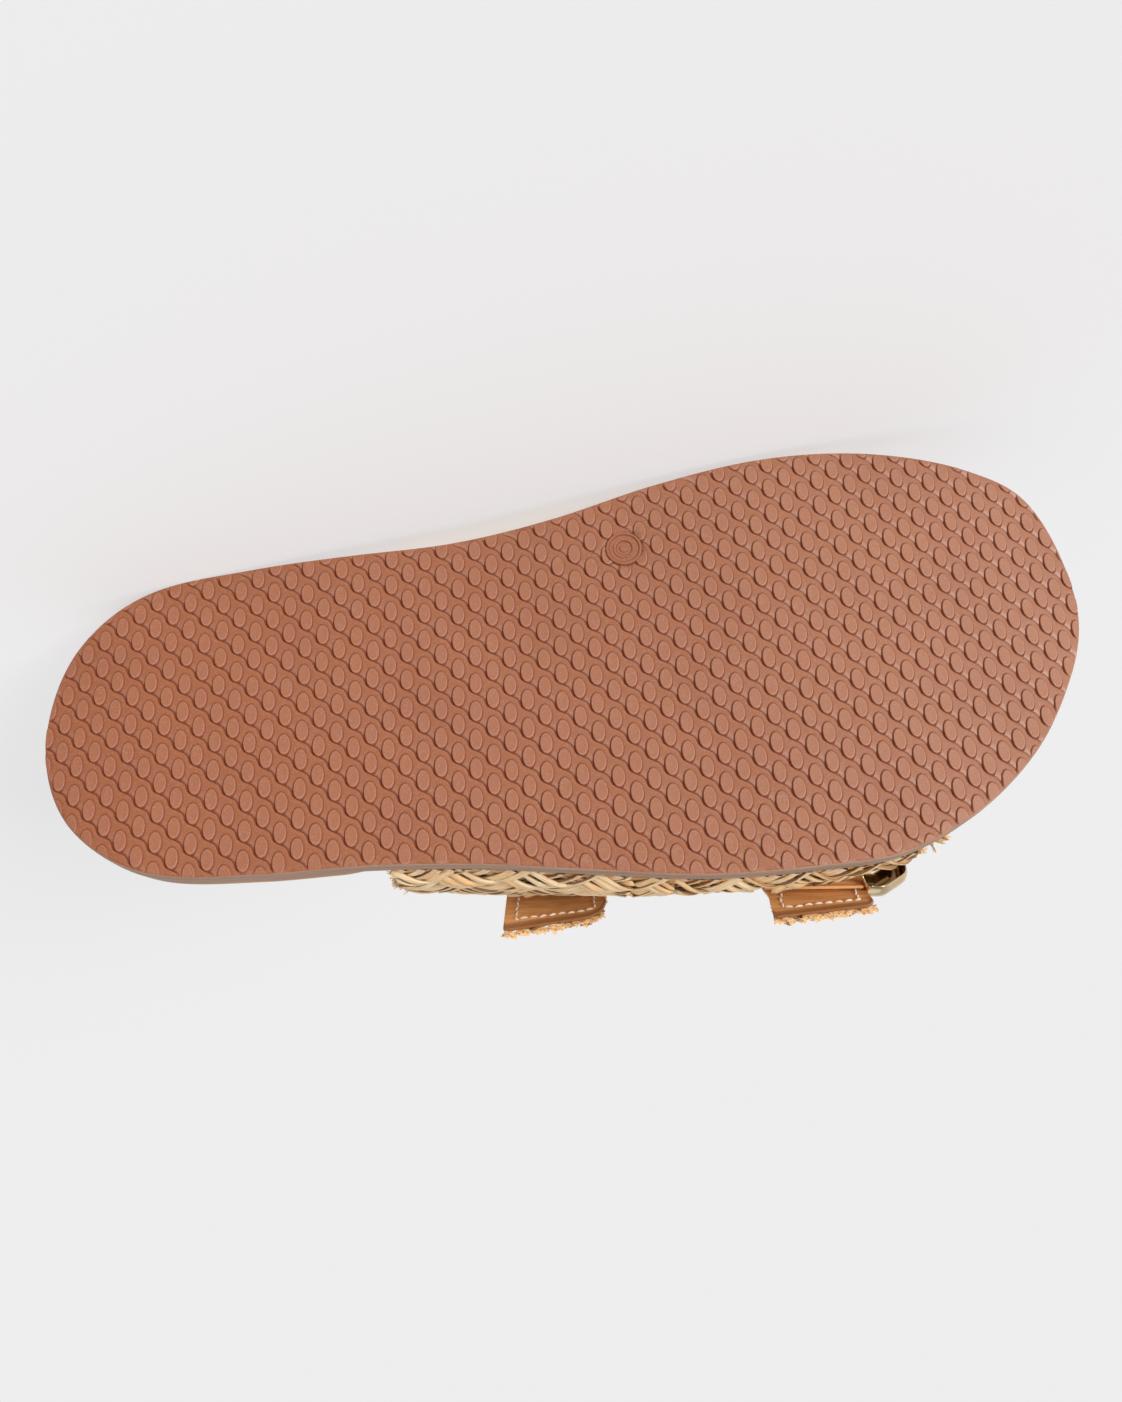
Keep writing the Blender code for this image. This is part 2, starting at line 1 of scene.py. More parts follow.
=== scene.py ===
"""Raffia slide sandal for the left foot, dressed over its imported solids.

Shapes are worked out standing, in millimetres: x from the heel to the toe, y to the lateral side, z up from the
ground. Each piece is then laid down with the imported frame, on its medial side.
"""
import math

import bmesh
import bpy
import numpy as np
from mathutils import Euler, Matrix, Vector


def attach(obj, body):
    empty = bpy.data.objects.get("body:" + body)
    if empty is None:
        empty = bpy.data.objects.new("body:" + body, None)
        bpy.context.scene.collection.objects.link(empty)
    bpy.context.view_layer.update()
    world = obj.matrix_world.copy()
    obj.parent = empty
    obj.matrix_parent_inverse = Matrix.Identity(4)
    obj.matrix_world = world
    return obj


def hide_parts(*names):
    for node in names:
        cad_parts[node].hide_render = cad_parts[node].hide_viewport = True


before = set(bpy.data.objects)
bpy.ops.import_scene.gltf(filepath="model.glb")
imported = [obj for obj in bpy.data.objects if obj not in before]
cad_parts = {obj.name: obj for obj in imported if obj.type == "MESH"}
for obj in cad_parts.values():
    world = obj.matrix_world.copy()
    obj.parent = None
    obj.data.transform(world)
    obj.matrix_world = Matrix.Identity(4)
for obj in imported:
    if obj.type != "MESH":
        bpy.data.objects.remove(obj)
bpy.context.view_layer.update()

# Lie of the sandal
# It rests on the heel's edge and the medial side of the upper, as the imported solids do: the standing shape is
# turned about x, y and z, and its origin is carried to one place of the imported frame.
MM = 0.001
REST_TURN = Euler([math.radians(a) for a in (88.38, -7.79, 177.42)], "XYZ").to_matrix()
STANDING_ORIGIN = np.array([128.100, -43.899, 32.642])


def lay_down(points):
    """Standing points in millimetres, turned to the resting lie, in the frame's metres."""
    return (np.asarray(points) @ np.array(REST_TURN).T + STANDING_ORIGIN) * MM


# Camera
# It looks up at the sole from the lateral side of the toe half, turned over so that the medial edge is at the
# top of the picture. The focal length is in pixels of the photograph's longer side.
PHOTO_LONG_SIDE = 1402.0
FOCAL_PIXELS = 1240.0
SENSOR = 36.0
EYE = np.array([125.45, 105.9, -279.0])
LOOK = np.array([0.0, -0.342, 0.940])
IMAGE_DOWN = np.array([0.0, 0.940, 0.342])
IMAGE_RIGHT = np.array([1.0, 0.0, 0.0])
ROLL = math.radians(5.8)

right = math.cos(ROLL) * IMAGE_RIGHT + math.sin(ROLL) * IMAGE_DOWN
down = math.cos(ROLL) * IMAGE_DOWN - math.sin(ROLL) * IMAGE_RIGHT
lens = bpy.data.cameras.new("camera")
lens.sensor_fit = "AUTO"
lens.sensor_width = SENSOR
lens.lens = SENSOR * FOCAL_PIXELS / PHOTO_LONG_SIDE
lens.clip_start = 0.01
camera = bpy.data.objects.new("camera", lens)
turn = np.array(REST_TURN) @ np.stack([right, -down, -LOOK], axis=1)
camera.matrix_world = Matrix.Translation(Vector(lay_down(EYE))) @ Matrix(turn.tolist()).to_4x4()
bpy.context.collection.objects.link(camera)
bpy.context.scene.camera = camera

# Outsole
# A thin sheet of brown moulded rubber, cut to the shape of the foot. Its side is trimmed smooth and shows
# taupe, with a small step at the top, where the footbed is glued on.
LENGTH = 258.0
OUTSOLE_THICK = 7.0
TOE_SPRING, TOE_SPRING_FROM = 12.0, 165.0
HEEL_SPRING, HEEL_SPRING_TO = 2.5, 25.0
WAIST_RISE, WAIST_FROM, WAIST_TO = 1.2, 60.0, 150.0
# station is the share of the length from the heel, medial and lateral are the reach of each edge from the axis
SOLE_SECTIONS = np.array(
    [
        (0.00, -1.5, 1.5),
        (0.03, 22.6, 23.5),
        (0.10, 35.4, 36.0),
        (0.20, 39.1, 39.1),
        (0.30, 40.5, 39.6),
        (0.40, 41.6, 41.9),
        (0.50, 45.4, 45.8),
        (0.60, 51.6, 49.5),
        (0.70, 55.9, 50.1),
        (0.77, 56.7, 49.0),
        (0.85, 54.9, 40.5),
        (0.92, 50.2, 26.5),
        (0.97, 42.4, 9.2),
        (1.00, 14.0, -14.0),
    ],
    dtype=[("station", float), ("medial", float), ("lateral", float)],
)
OUTLINE_POINTS = 420
# depth is how far above the tread's face a line of the side lies, out is how far it stands outside the outline
SIDE_PROFILE = np.array(
    [
        (1.10, -2.2), (0.95, -1.1), (0.75, -0.45), (0.62, -0.16), (0.70, 0.06), (1.0, 0.18), (3.0, 0.22),
        (5.2, 0.20), (5.6, 0.08), (5.75, -0.22), (5.9, -0.30), (6.8, -0.30), (OUTSOLE_THICK, -0.5),
        (OUTSOLE_THICK, -2.0),
    ],
    dtype=[("depth", float), ("out", float)],
)
# The rows over the flat faces run in to a middle line that stops short of heel and toe
SPINE_SHARES = (0.9, 0.6, 0.3, 0.0)
SPINE_MARGINS = (12.0, 22.0)
SIDE_DARK, SIDE_PALE = (128, 95, 74), (176, 142, 120)
SIDE_STREAKS = (18.0, 900.0, 60.0)


def curve_through(knots, values, at):
    """Smooth curve through a table's rows: cubic pieces whose slopes come from the neighbouring rows."""
    slopes = np.gradient(values, knots)
    at = np.clip(at, knots[0], knots[-1])
    row = np.clip(np.searchsorted(knots, at) - 1, 0, len(knots) - 2)
    span = knots[row + 1] - knots[row]
    u = (at - knots[row]) / span
    start = (1 + 2 * u) * (1 - u) ** 2 * values[row] + u * (1 - u) ** 2 * span * slopes[row]
    end = u * u * (3 - 2 * u) * values[row + 1] - u * u * (1 - u) * span * slopes[row + 1]
    return start + end


def unit(vectors):
    """Vectors of length one along the last axis."""
    return vectors / np.maximum(np.linalg.norm(vectors, axis=-1, keepdims=True), 1e-12)


def turn_of(x):
    """Angle that runs from 0 at the heel to pi at the toe, in which a round end is a straight slope."""
    return np.arccos(np.clip(1 - 2 * np.asarray(x, float) / LENGTH, -1, 1))


def sole_reach(x):
    """Reach of the medial and of the lateral edge from the axis."""
    knots = turn_of(SOLE_SECTIONS["station"] * LENGTH)
    angle = turn_of(x)
    medial = curve_through(knots, SOLE_SECTIONS["medial"], angle)
    return medial, curve_through(knots, SOLE_SECTIONS["lateral"], angle)


def across_of(x, y):
    """Place across the sole: -1 on the medial edge, 1 on the lateral edge."""
    medial, lateral = sole_reach(x)
    return np.clip((2 * y - lateral + medial) / np.maximum(lateral + medial, 1e-6), -1, 1)


def underside(x, across):
    """Height of the tread's face: toe and heel spring, and a small rise under the medial waist."""
    toe = TOE_SPRING * np.clip((x - TOE_SPRING_FROM) / (LENGTH - TOE_SPRING_FROM), 0, 1) ** 2
    heel = HEEL_SPRING * np.clip((HEEL_SPRING_TO - x) / HEEL_SPRING_TO, 0, 1) ** 2
    waist = np.sin(np.pi * np.clip((x - WAIST_FROM) / (WAIST_TO - WAIST_FROM), 0, 1)) ** 2
    return toe + heel + WAIST_RISE * waist * (1 - across) / 2


def sole_outline():
    """Closed outline of the sole, along the lateral edge to the toe and back, and its outward unit."""
    angle = np.linspace(0, np.pi, OUTLINE_POINTS // 2 + 1)
    x = LENGTH / 2 * (1 - np.cos(angle))
    medial, lateral = sole_reach(x)
    there = np.stack([x, lateral], axis=-1)[:-1]
    back = np.stack([x, -medial], axis=-1)[:0:-1]
    line = np.concatenate([there, back])
    ahead = unit(np.roll(line, -1, axis=0) - np.roll(line, 1, axis=0))
    return line, np.stack([-ahead[:, 1], ahead[:, 0]], axis=-1)


def middle_line(x, margins):
    """Points of the sole's middle line at x, which stops short of heel and toe by the two margins."""
    x = np.clip(x, margins[0], LENGTH - margins[1])
    medial, lateral = sole_reach(x)
    return np.stack([x, (lateral - medial) / 2], axis=-1)


outline, outward = sole_outline()
edge_across = np.where(np.arange(OUTLINE_POINTS) <= OUTLINE_POINTS // 2, 1.0, -1.0)
edge_across[[0, OUTLINE_POINTS // 2]] = 0.0


def edge_rows(profile, low):
    """A profile carried round the outline: each row stands out by its step, at its depth over the low face."""
    rows = []
    for row in profile:
        flat = outline + outward * row["out"]
        rows.append(np.column_stack([flat, low(flat[:, 0], edge_across) + row["depth"]]))
    return np.array(rows)


def to_spine(edge, low, depth):
    """Rows that run from an edge row in to the sole's middle line, on a face at a depth over the low face."""
    spine = middle_line(edge[:, 0], SPINE_MARGINS)
    rows = []
    for share in SPINE_SHARES:
        flat = spine + (edge[:, :2] - spine) * share
        rows.append(np.column_stack([flat, low(flat[:, 0], across_of(flat[:, 0], flat[:, 1])) + depth]))
    return np.array(rows)


def grid_faces(rows, columns, close_rows=False, close_columns=False):
    """Quads of a grid of points, joined round where a direction closes on itself."""
    r = np.arange(rows if close_rows else rows - 1)[:, None]
    c = np.arange(columns if close_columns else columns - 1)[None, :]
    r2, c2 = (r + 1) % rows, (c + 1) % columns
    quads = [r * columns + c, r * columns + c2, r2 * columns + c2, r2 * columns + c]
    return np.stack(np.broadcast_arrays(*quads), axis=-1).reshape(-1, 4)


def add_piece(name, points, faces, material, closed=True, marks=None, uv=None, sharp=40.0):
    """Object of one mesh: standing points, a list of face arrays, a material, and values for points by name."""
    mesh = bpy.data.meshes.new(name)
    points = lay_down(np.asarray(points).reshape(-1, 3))
    corners = np.concatenate([f.ravel() for f in faces]).astype(np.int32)
    sizes = np.concatenate([np.full(len(f), f.shape[1]) for f in faces])
    mesh.vertices.add(len(points))
    mesh.vertices.foreach_set("co", points.ravel().astype(np.float32))
    mesh.loops.add(len(corners))
    mesh.loops.foreach_set("vertex_index", corners)
    mesh.polygons.add(len(sizes))
    mesh.polygons.foreach_set("loop_start", (np.cumsum(sizes) - sizes).astype(np.int32))
    mesh.update(calc_edges=True)
    for mark, values in (marks or {}).items():
        field = mesh.attributes.new(mark, "FLOAT", "POINT")
        field.data.foreach_set("value", np.asarray(values, np.float32).ravel())
    if uv is not None:
        layer = mesh.uv_layers.new(name="along")
        layer.data.foreach_set("uv", uv.reshape(-1, 2)[corners].astype(np.float32).ravel())
    if closed:
        shape = bmesh.new()
        shape.from_mesh(mesh)
        bmesh.ops.remove_doubles(shape, verts=shape.verts, dist=1e-7)
        bmesh.ops.recalc_face_normals(shape, faces=shape.faces)
        shape.to_mesh(mesh)
        shape.free()
    mesh.shade_smooth()
    mesh.set_sharp_from_angle(angle=math.radians(sharp))
    mesh.materials.append(material)
    piece = bpy.data.objects.new(name, mesh)
    bpy.context.collection.objects.link(piece)
    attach(piece, "root")
    return piece


def srgb(red, green, blue):
    """Linear colour of a screen colour given from 0 to 255."""
    c = np.array([red, green, blue]) / 255
    return (*np.where(c <= 0.04045, c / 12.92, ((c + 0.055) / 1.055) ** 2.4).tolist(), 1.0)


def new_material(name, roughness, metallic=0.0, specular=0.5):
    """Material with one Principled shader, its tree, and that shader."""
    material = bpy.data.materials.new(name)
    material.use_nodes = True
    shader = material.node_tree.nodes["Principled BSDF"]
    shader.inputs["Roughness"].default_value = roughness
    shader.inputs["Metallic"].default_value = metallic
    shader.inputs["Specular IOR Level"].default_value = specular
    return material, material.node_tree, shader


def put(tree, kind, **values):
    """Adds a node, sets its named options, and sets its inputs whose names or numbers are given in inputs."""
    node = tree.nodes.new(kind)
    for key, value in values.pop("inputs", {}).items():
        node.inputs[key].default_value = value
    for key, value in values.items():
        setattr(node, key, value)
    return node


def feed(tree, socket, value):
    """Gives an input its value: a link from another socket, or a plain number or colour."""
    if isinstance(value, bpy.types.NodeSocket):
        tree.links.new(value, socket)
    else:
        socket.default_value = value


def mixed(tree, share, first, second):
    """Colour between two colours, each a socket or a plain colour, by a share that is a socket or a number."""
    node = put(tree, "ShaderNodeMix", data_type="RGBA")
    for place, value in ((0, share), (6, first), (7, second)):
        feed(tree, node.inputs[place], value)
    return node.outputs[2]


def place_on(tree):
    """Object coordinates of the surface."""
    return put(tree, "ShaderNodeTexCoord").outputs["Object"]


def drawn_noise(tree, place, scale, detail, turn=(0.0, 0.0, 0.0), **more):
    """Noise drawn out along one way: its place is turned, and scaled by its own number on each axis."""
    stretch = put(tree, "ShaderNodeMapping", inputs={"Rotation": turn, "Scale": scale})
    tree.links.new(place, stretch.inputs["Vector"])
    noise = put(tree, "ShaderNodeTexNoise", inputs={"Scale": 1.0, "Detail": detail, **more})
    tree.links.new(stretch.outputs[0], noise.inputs["Vector"])
    return noise.outputs["Fac"]


def add_bump(tree, shader, height, strength, distance):
    """Bump of a height socket on a shader's normal."""
    bump = put(tree, "ShaderNodeBump", inputs={"Strength": strength, "Distance": distance})
    tree.links.new(height, bump.inputs["Height"])
    tree.links.new(bump.outputs["Normal"], shader.inputs["Normal"])


def side_material():
    """Trimmed side of the rubber: taupe, with faint streaks along its length from the cutting."""
    material, tree, shader = new_material("side_rubber", 0.55, specular=0.35)
    streak = drawn_noise(tree, place_on(tree), SIDE_STREAKS, 3.0)
    tree.links.new(mixed(tree, streak, srgb(*SIDE_DARK), srgb(*SIDE_PALE)), shader.inputs["Base Color"])
    add_bump(tree, shader, streak, 0.2, 0.0002)
    return material


side = edge_rows(SIDE_PROFILE, underside)
below = to_spine(side[0], underside, SIDE_PROFILE["depth"][0])
above = to_spine(side[-1], underside, SIDE_PROFILE["depth"][-1])
body_rows = np.concatenate([below[::-1], side, above])
outsole = add_piece("outsole_body", body_rows, [grid_faces(len(body_rows), OUTLINE_POINTS, close_columns=True)],
                    side_material(), sharp=50.0)
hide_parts("outsole")

# Tread
# The outsole's moulded underside: chains of flat oval studs, a wavy rib along the lower edge of each chain, and
# one small round mark. The rubber pales from the heel to the toe. Its creases carry painted shade, the studs'
# edges a painted highlight, and the ground at the foot of each rib a painted sheen that grows towards the toe.
# A chain's step and the step to the next chain are half the sum and half the difference of two rows of studs
STUD_ROW_LONG = 8.4
STUD_ROW_TURN = math.radians(9.5)
STUD_ROW_BEND = 2.1e-4
STUD_ROW_ACROSS = 7.2
STUD_ROW_LEAN = math.radians(3.6)
STUD_AT = np.array([130.2, 1.4])
CHAINS_EACH_WAY, STUDS_EACH_WAY = 42, 44
STUD_HALF = np.array([1.63, 2.86])
STUD_SIDES = 12
# size is the share of the stud's half sizes, depth is over the tread's face, rim is how much painted shade its
# crease gets, and the last how much paler it is: a painted highlight on its edge, and a slightly paler top
STUD_RINGS = np.array(
    [(1.14, 0.62, 1.0, 0.0), (0.98, 0.30, 1.0, 0.0), (0.91, 0.13, 0.4, 0.0), (0.85, 0.11, 0.0, 0.6),
     (0.72, 0.13, 0.0, 0.10)],
    dtype=[("size", float), ("depth", float), ("rim", float), ("highlight_and_pale_top", float)],
)
# A stud's painted crease shade is darkest on the side towards the rib that lies against it, and its painted
# highlight brightest on another side
STUD_SHADE_SIDE, STUD_HIGHLIGHT_SIDE = math.radians(125), math.radians(45)
STUD_SHADE_LEAST, STUD_HIGHLIGHT_LEAST = 0.72, 0.35
STUD_PAST_EDGE = 1.2
# Rib: down is the way from the rib's crisp edge towards the next chain, depth is over the tread's face, the
# third column is the painted shade along its crease, and the last the painted sheen at the foot of the next
# rib; the rows are for chains that are RIB_PITCH apart
RIB_ROWS = np.array(
    [(0.0, 0.68, 1.0, 0.0), (0.18, 0.40, 1.0, 0.0), (0.36, 0.27, 0.0, 0.0), (1.0, 0.30, 0.0, 0.0),
     (1.8, 0.46, 0.0, 0.0), (3.2, 0.52, 0.0, 0.1), (4.4, 0.55, 0.0, 0.65), (4.98, 0.60, 0.15, 1.0)],
    dtype=[("down", float), ("depth", float), ("crease_shade", float), ("painted_sheen", float)],
)
RIB_PITCH = 5.2
RIB_MIDDLE, RIB_WAVE, RIB_LEAN, RIB_CREST = -1.84, 0.40, 0.04, 0.62
# Between these ways down from its edge the rib's wave is softer and lags
SOFT_FROM, SOFT_FULL, SOFT_TO, SOFT_LAG = 0.2, 3.2, 4.7, 0.5
RIB_STEPS = 12
DISC_AT = np.array([145.0, -34.5])
DISC_R = 4.75
# radius, depth and painted crease shade of the disc's rings: its sunk rim, its raised edge and two small raised
# rings
DISC_RINGS = np.array(
    [(4.95, 0.95, 1.0), (4.6, 0.50, 0.8), (4.4, 0.14, 0.0), (3.95, 0.10, 0.0), (3.75, 0.38, 0.8),
     (3.5, 0.40, 0.0), (2.75, 0.38, 0.0), (2.6, 0.12, 0.0), (2.15, 0.12, 0.0), (2.0, 0.40, 0.7),
     (1.7, 0.40, 0.0), (1.15, 0.38, 0.0), (1.0, 0.14, 0.0), (0.0, 0.12, 0.0)],
    dtype=[("radius", float), ("depth", float), ("crease_shade", float)],
)
DISC_SIDES = 40
SHEET_PIT, STUD_PIT = 0.9, 0.95
SHEET_TRIM, STUD_TRIM, TRIM_MARGINS, TRIM_HALVINGS = 0.15, 0.10, (30.0, 45.0), 22
SKIRT = 0.9
# Towards the cut edge the relief is pressed to one level
EDGE_LEVEL, EDGE_FLAT, EDGE_PRESS = 0.42, 0.2, 1.1
TREAD_HEEL, TREAD_TOE = (149, 87, 53), (155, 103, 75)
# The dark colour is the rubber's random clouding and also painted shade in the relief's creases; the pale
# colour is its fine speckle and also a painted highlight and a painted sheen
CLOUD_AND_CREASE_SHADE_COLOUR, SPECK_AND_SHEEN_COLOUR = srgb(104, 42, 17), srgb(205, 168, 152)
CREASE_SHADE_SHARE, CLOUD_SHARE, PALE_SHARE, SPECK_SHARE = 0.85, 0.30, 0.55, 0.22
SHEEN_POWER, SHEEN_LEAST = 2.5, 0.22


def ease(value, low, high):
    """Smooth step from 0 at low to 1 at high."""
    share = np.clip((np.asarray(value, float) - low) / (high - low), 0.0, 1.0)
    return share * share * (3.0 - 2.0 * share)


def within(flat, margin):
    """True where a point is inside the outline by the margin, with the outline drawn in towards its ends."""
    x = (flat[..., 0] - LENGTH / 2) * LENGTH / (LENGTH - 2 * margin) + LENGTH / 2
    medial, lateral = sole_reach(x)
    inside = (x >= 0) & (x <= LENGTH)
    return inside & (flat[..., 1] <= lateral - margin) & (flat[..., 1] >= margin - medial)


def pull_inside(flat, margin):
    """Points outside the outline, brought in towards the sole's middle line until they are on its edge."""
    middle = middle_line(flat[..., 0], TRIM_MARGINS)
    low, high = np.zeros(flat.shape[:-1]), np.ones(flat.shape[:-1])
    for _ in range(TRIM_HALVINGS):
        share = (low + high) / 2
        inside = within(middle + (flat - middle) * share[..., None], margin)
        low, high = np.where(inside, share, low), np.where(inside, high, share)
    outside = ~within(flat, margin)
    return np.where(outside[..., None], middle + (flat - middle) * low[..., None], flat), outside


def edge_distance(flat):
    """Distance of a point from the outline: its way to either side, shortened by that side's slope."""
    step = 0.5
    x = np.clip(flat[..., 0], 1.0, LENGTH - 1.0)
    reach, ahead = sole_reach(x), sole_reach(x + step)
    ways = []
    for sign, here, there in zip((-1.0, 1.0), reach, ahead):
        slope = (there - here) / step
        ways.append((here - sign * flat[..., 1]) / np.sqrt(1 + slope**2))
    return np.minimum(*ways)


def on_tread(flat, depth):
    """Points of the sole's plane at a depth over the tread's face, pressed level along the cut edge."""
    depth = EDGE_LEVEL + (depth - EDGE_LEVEL) * ease(edge_distance(flat), EDGE_FLAT, EDGE_PRESS)
    height = underside(flat[..., 0], across_of(flat[..., 0], flat[..., 1])) + depth
    return np.concatenate([flat, height[..., None]], axis=-1)


def reckon(tree, operation, first, second=0.0, clamp=False):
    """Result of a sum on two values, each a socket or a number."""
    node = put(tree, "ShaderNodeMath", operation=operation, use_clamp=clamp)
    feed(tree, node.inputs[0], first)
    feed(tree, node.inputs[1], second)
    return node.outputs[0]


def spread(tree, value, low, high, start=0.0, end=1.0):
    """Value that goes from low to high while a socket goes from start to end."""
    node = put(tree, "ShaderNodeMapRange", inputs={1: start, 2: end, 3: low, 4: high})
    tree.links.new(value, node.inputs[0])
    return node.outputs[0]


def mark_on(tree, name):
    """Value of a mark that a piece's points carry; a piece without it has 0."""
    return put(tree, "ShaderNodeAttribute", attribute_name=name).outputs["Fac"]


def grain_group():
    """Grain shared by rubber, leather, thread and plating: coarse cloudiness and fine roughness, 0 to 1."""
    group = bpy.data.node_groups.new("surface_grain", "ShaderNodeTree")
    for name, value in (("Cloud Scale", 60.0), ("Grain Scale", 2500.0)):
        socket = group.interface.new_socket(name, in_out="INPUT", socket_type="NodeSocketFloat")
        socket.default_value = value
    for name in ("Cloud", "Grain"):
        group.interface.new_socket(name, in_out="OUTPUT", socket_type="NodeSocketFloat")
    taken = group.nodes.new("NodeGroupInput")
    given = group.nodes.new("NodeGroupOutput")
    for name, detail in (("Cloud", 4.0), ("Grain", 2.0)):
        noise = put(group, "ShaderNodeTexNoise", inputs={"Detail": detail})
        group.links.new(place_on(group), noise.inputs["Vector"])
        group.links.new(taken.outputs[f"{name} Scale"], noise.inputs["Scale"])
        group.links.new(noise.outputs["Fac"], given.inputs[name])
    return group


surface_grain = grain_group()


def add_grain(tree, cloud_scale, grain_scale):
    """The shared grain, placed in a material with its own scales: its cloudiness and its roughness."""
    scales = {"Cloud Scale": cloud_scale, "Grain Scale": grain_scale}
    node = put(tree, "ShaderNodeGroup", node_tree=surface_grain)
    for name, scale in scales.items():
        node.inputs[name].default_value = scale
    return node.outputs["Cloud"], node.outputs["Grain"]


def tread_material():
    """Moulded rubber: its colour pales from the heel to the toe, with painted shade in its creases, a painted
    highlight on the studs' edges and a painted sheen before each rib.
    """
    material, tree, shader = new_material("tread_rubber", 0.5, specular=0.3)
    cloud, grain = add_grain(tree, 45.0, 3200.0)
    apart = put(tree, "ShaderNodeSeparateXYZ")
    tree.links.new(place_on(tree), apart.inputs[0])
    along = spread(tree, apart.outputs["X"], 0.0, 1.0, LENGTH * MM / 2, -LENGTH * MM / 2)
    body = mixed(tree, along, srgb(*TREAD_HEEL), srgb(*TREAD_TOE))
    body = mixed(tree, reckon(tree, "MULTIPLY", cloud, CLOUD_SHARE), body, CLOUD_AND_CREASE_SHADE_COLOUR)
    body = mixed(tree, spread(tree, grain, 0.0, SPECK_SHARE, 0.50, 0.75), body, SPECK_AND_SHEEN_COLOUR)
    # painted sheen at the foot of each rib, stronger towards the toe
    toward_toe = reckon(tree, "ADD", reckon(tree, "POWER", along, SHEEN_POWER), SHEEN_LEAST)
    pale = reckon(tree, "MULTIPLY", toward_toe, mark_on(tree, "painted_sheen"))
    # painted highlight on the studs' edges, and their slightly paler tops
    pale = reckon(tree, "ADD", pale, mark_on(tree, "highlight_and_pale_top"))
    body = mixed(tree, reckon(tree, "MULTIPLY", pale, PALE_SHARE, clamp=True), body, SPECK_AND_SHEEN_COLOUR)
    # painted shade in the relief's creases
    dark = reckon(tree, "MULTIPLY", mark_on(tree, "crease_shade"), CREASE_SHADE_SHARE, clamp=True)
    tree.links.new(mixed(tree, dark, body, CLOUD_AND_CREASE_SHADE_COLOUR), shader.inputs["Base Color"])
    tree.links.new(spread(tree, grain, 0.42, 0.62), shader.inputs["Roughness"])
    add_bump(tree, shader, grain, 0.25, 0.0002)
    return material


tread_rubber = tread_material()
row_long = STUD_ROW_LONG * np.array([math.cos(STUD_ROW_TURN), math.sin(STUD_ROW_TURN)])
row_across = STUD_ROW_ACROSS * np.array([-math.sin(STUD_ROW_LEAN), math.cos(STUD_ROW_LEAN)])
chain_step = (row_long + row_across) / 2
next_chain = (row_long - row_across) / 2
chain_pitch = np.linalg.norm(chain_step)
chain_along = chain_step / chain_pitch
chain_up = np.array([chain_along[1], -chain_along[0]])
chain_apart = next_chain @ chain_up
chain_shift = next_chain @ chain_along


def bent(flat):
    """The rows of studs turn more towards the toe: y grows with the square of the way from the middle."""
    out = flat.copy()
    out[..., 1] += STUD_ROW_BEND / 2 * (flat[..., 0] - STUD_AT[0]) ** 2
    return out


def tread_sheet():
    """Sheet with a wavy rib for each chain: rows follow the rib's edge, a leaning wave under each stud."""
    chains = np.arange(-CHAINS_EACH_WAY, CHAINS_EACH_WAY + 1)
    along = np.arange(-STUDS_EACH_WAY * RIB_STEPS, STUDS_EACH_WAY * RIB_STEPS + 1) * chain_pitch / RIB_STEPS
    wave = 2 * np.pi * (along - RIB_CREST) / chain_pitch
    edge = RIB_MIDDLE - RIB_WAVE * np.cos(wave) + RIB_LEAN * np.sin(2 * wave)
    soft = RIB_MIDDLE - RIB_WAVE * np.cos(wave - SOFT_LAG)
    down = RIB_ROWS["down"][:, None]
    blend = ease(down, SOFT_FROM, SOFT_FULL) * ease(-down, -SOFT_TO, -SOFT_FULL)
    line = edge + (soft - edge) * blend - down * chain_apart / RIB_PITCH
    up = line[None] + (chains * chain_apart)[:, None, None]
    ahead = along[None, None, :] + (chains * chain_shift)[:, None, None]
    flat = bent(STUD_AT + up[..., None] * chain_up + np.broadcast_to(ahead, up.shape)[..., None] * chain_along)
    rows = len(chains) * len(RIB_ROWS)
    flat = flat[::-1].reshape(rows, -1, 2)
    # painted shade along each rib's crease, and a painted sheen at the foot of the next rib
    depth, crease_shade, painted_sheen = (np.broadcast_to(RIB_ROWS[field][None, :, None], up.shape).reshape(rows, -1)
                            for field in ("depth", "crease_shade", "painted_sheen"))
    inside, out = pull_inside(flat, SHEET_TRIM)
    depth = np.where(np.linalg.norm(flat - DISC_AT, axis=-1) < DISC_R, SHEET_PIT, depth)
    points = on_tread(inside, depth)
    faces = grid_faces(rows, flat.shape[1])
    faces = faces[~out.ravel()[faces].all(axis=1)]
    used, faces = np.unique(faces, return_inverse=True)
    crease_shade = crease_shade * ease(edge_distance(inside), 0.0, EDGE_PRESS)
    return points.reshape(-1, 3)[used], faces.reshape(-1, 4), crease_shade.ravel()[used], painted_sheen.ravel()[used]


def add_skirt(piece, drop):
    """Turns the sheet's border in towards the foot, so that its edge is closed against the body's side."""
    shape = bmesh.new()
    shape.from_mesh(piece.data)
    turned_in = {}
    for edge in [edge for edge in shape.edges if edge.is_boundary]:
        first, second = edge.verts
        for corner in (first, second):
            if corner not in turned_in:
                place = corner.co + REST_TURN @ Vector((0, 0, drop * MM))
                turned_in[corner] = shape.verts.new(place, corner)
        shape.faces.new((first, second, turned_in[second], turned_in[first]), edge.link_faces[0])
    bmesh.ops.recalc_face_normals(shape, faces=shape.faces)
    shape.to_mesh(piece.data)
    shape.free()


points, faces, crease_shade, painted_sheen = tread_sheet()
tread = add_piece("tread_sheet", points, [faces], tread_rubber, closed=False,
                  marks={"crease_shade": crease_shade, "painted_sheen": painted_sheen}, sharp=180.0)
add_skirt(tread, SKIRT)


def round_angles(count):
    """Even angles of one full turn."""
    return np.arange(count) * 2 * np.pi / count


def copies_of(faces, copies, points_each):
    """The same faces for each of many like shapes whose points follow one another."""
    return (faces[None] + (np.arange(copies) * points_each)[:, None, None]).reshape(-1, faces.shape[1])


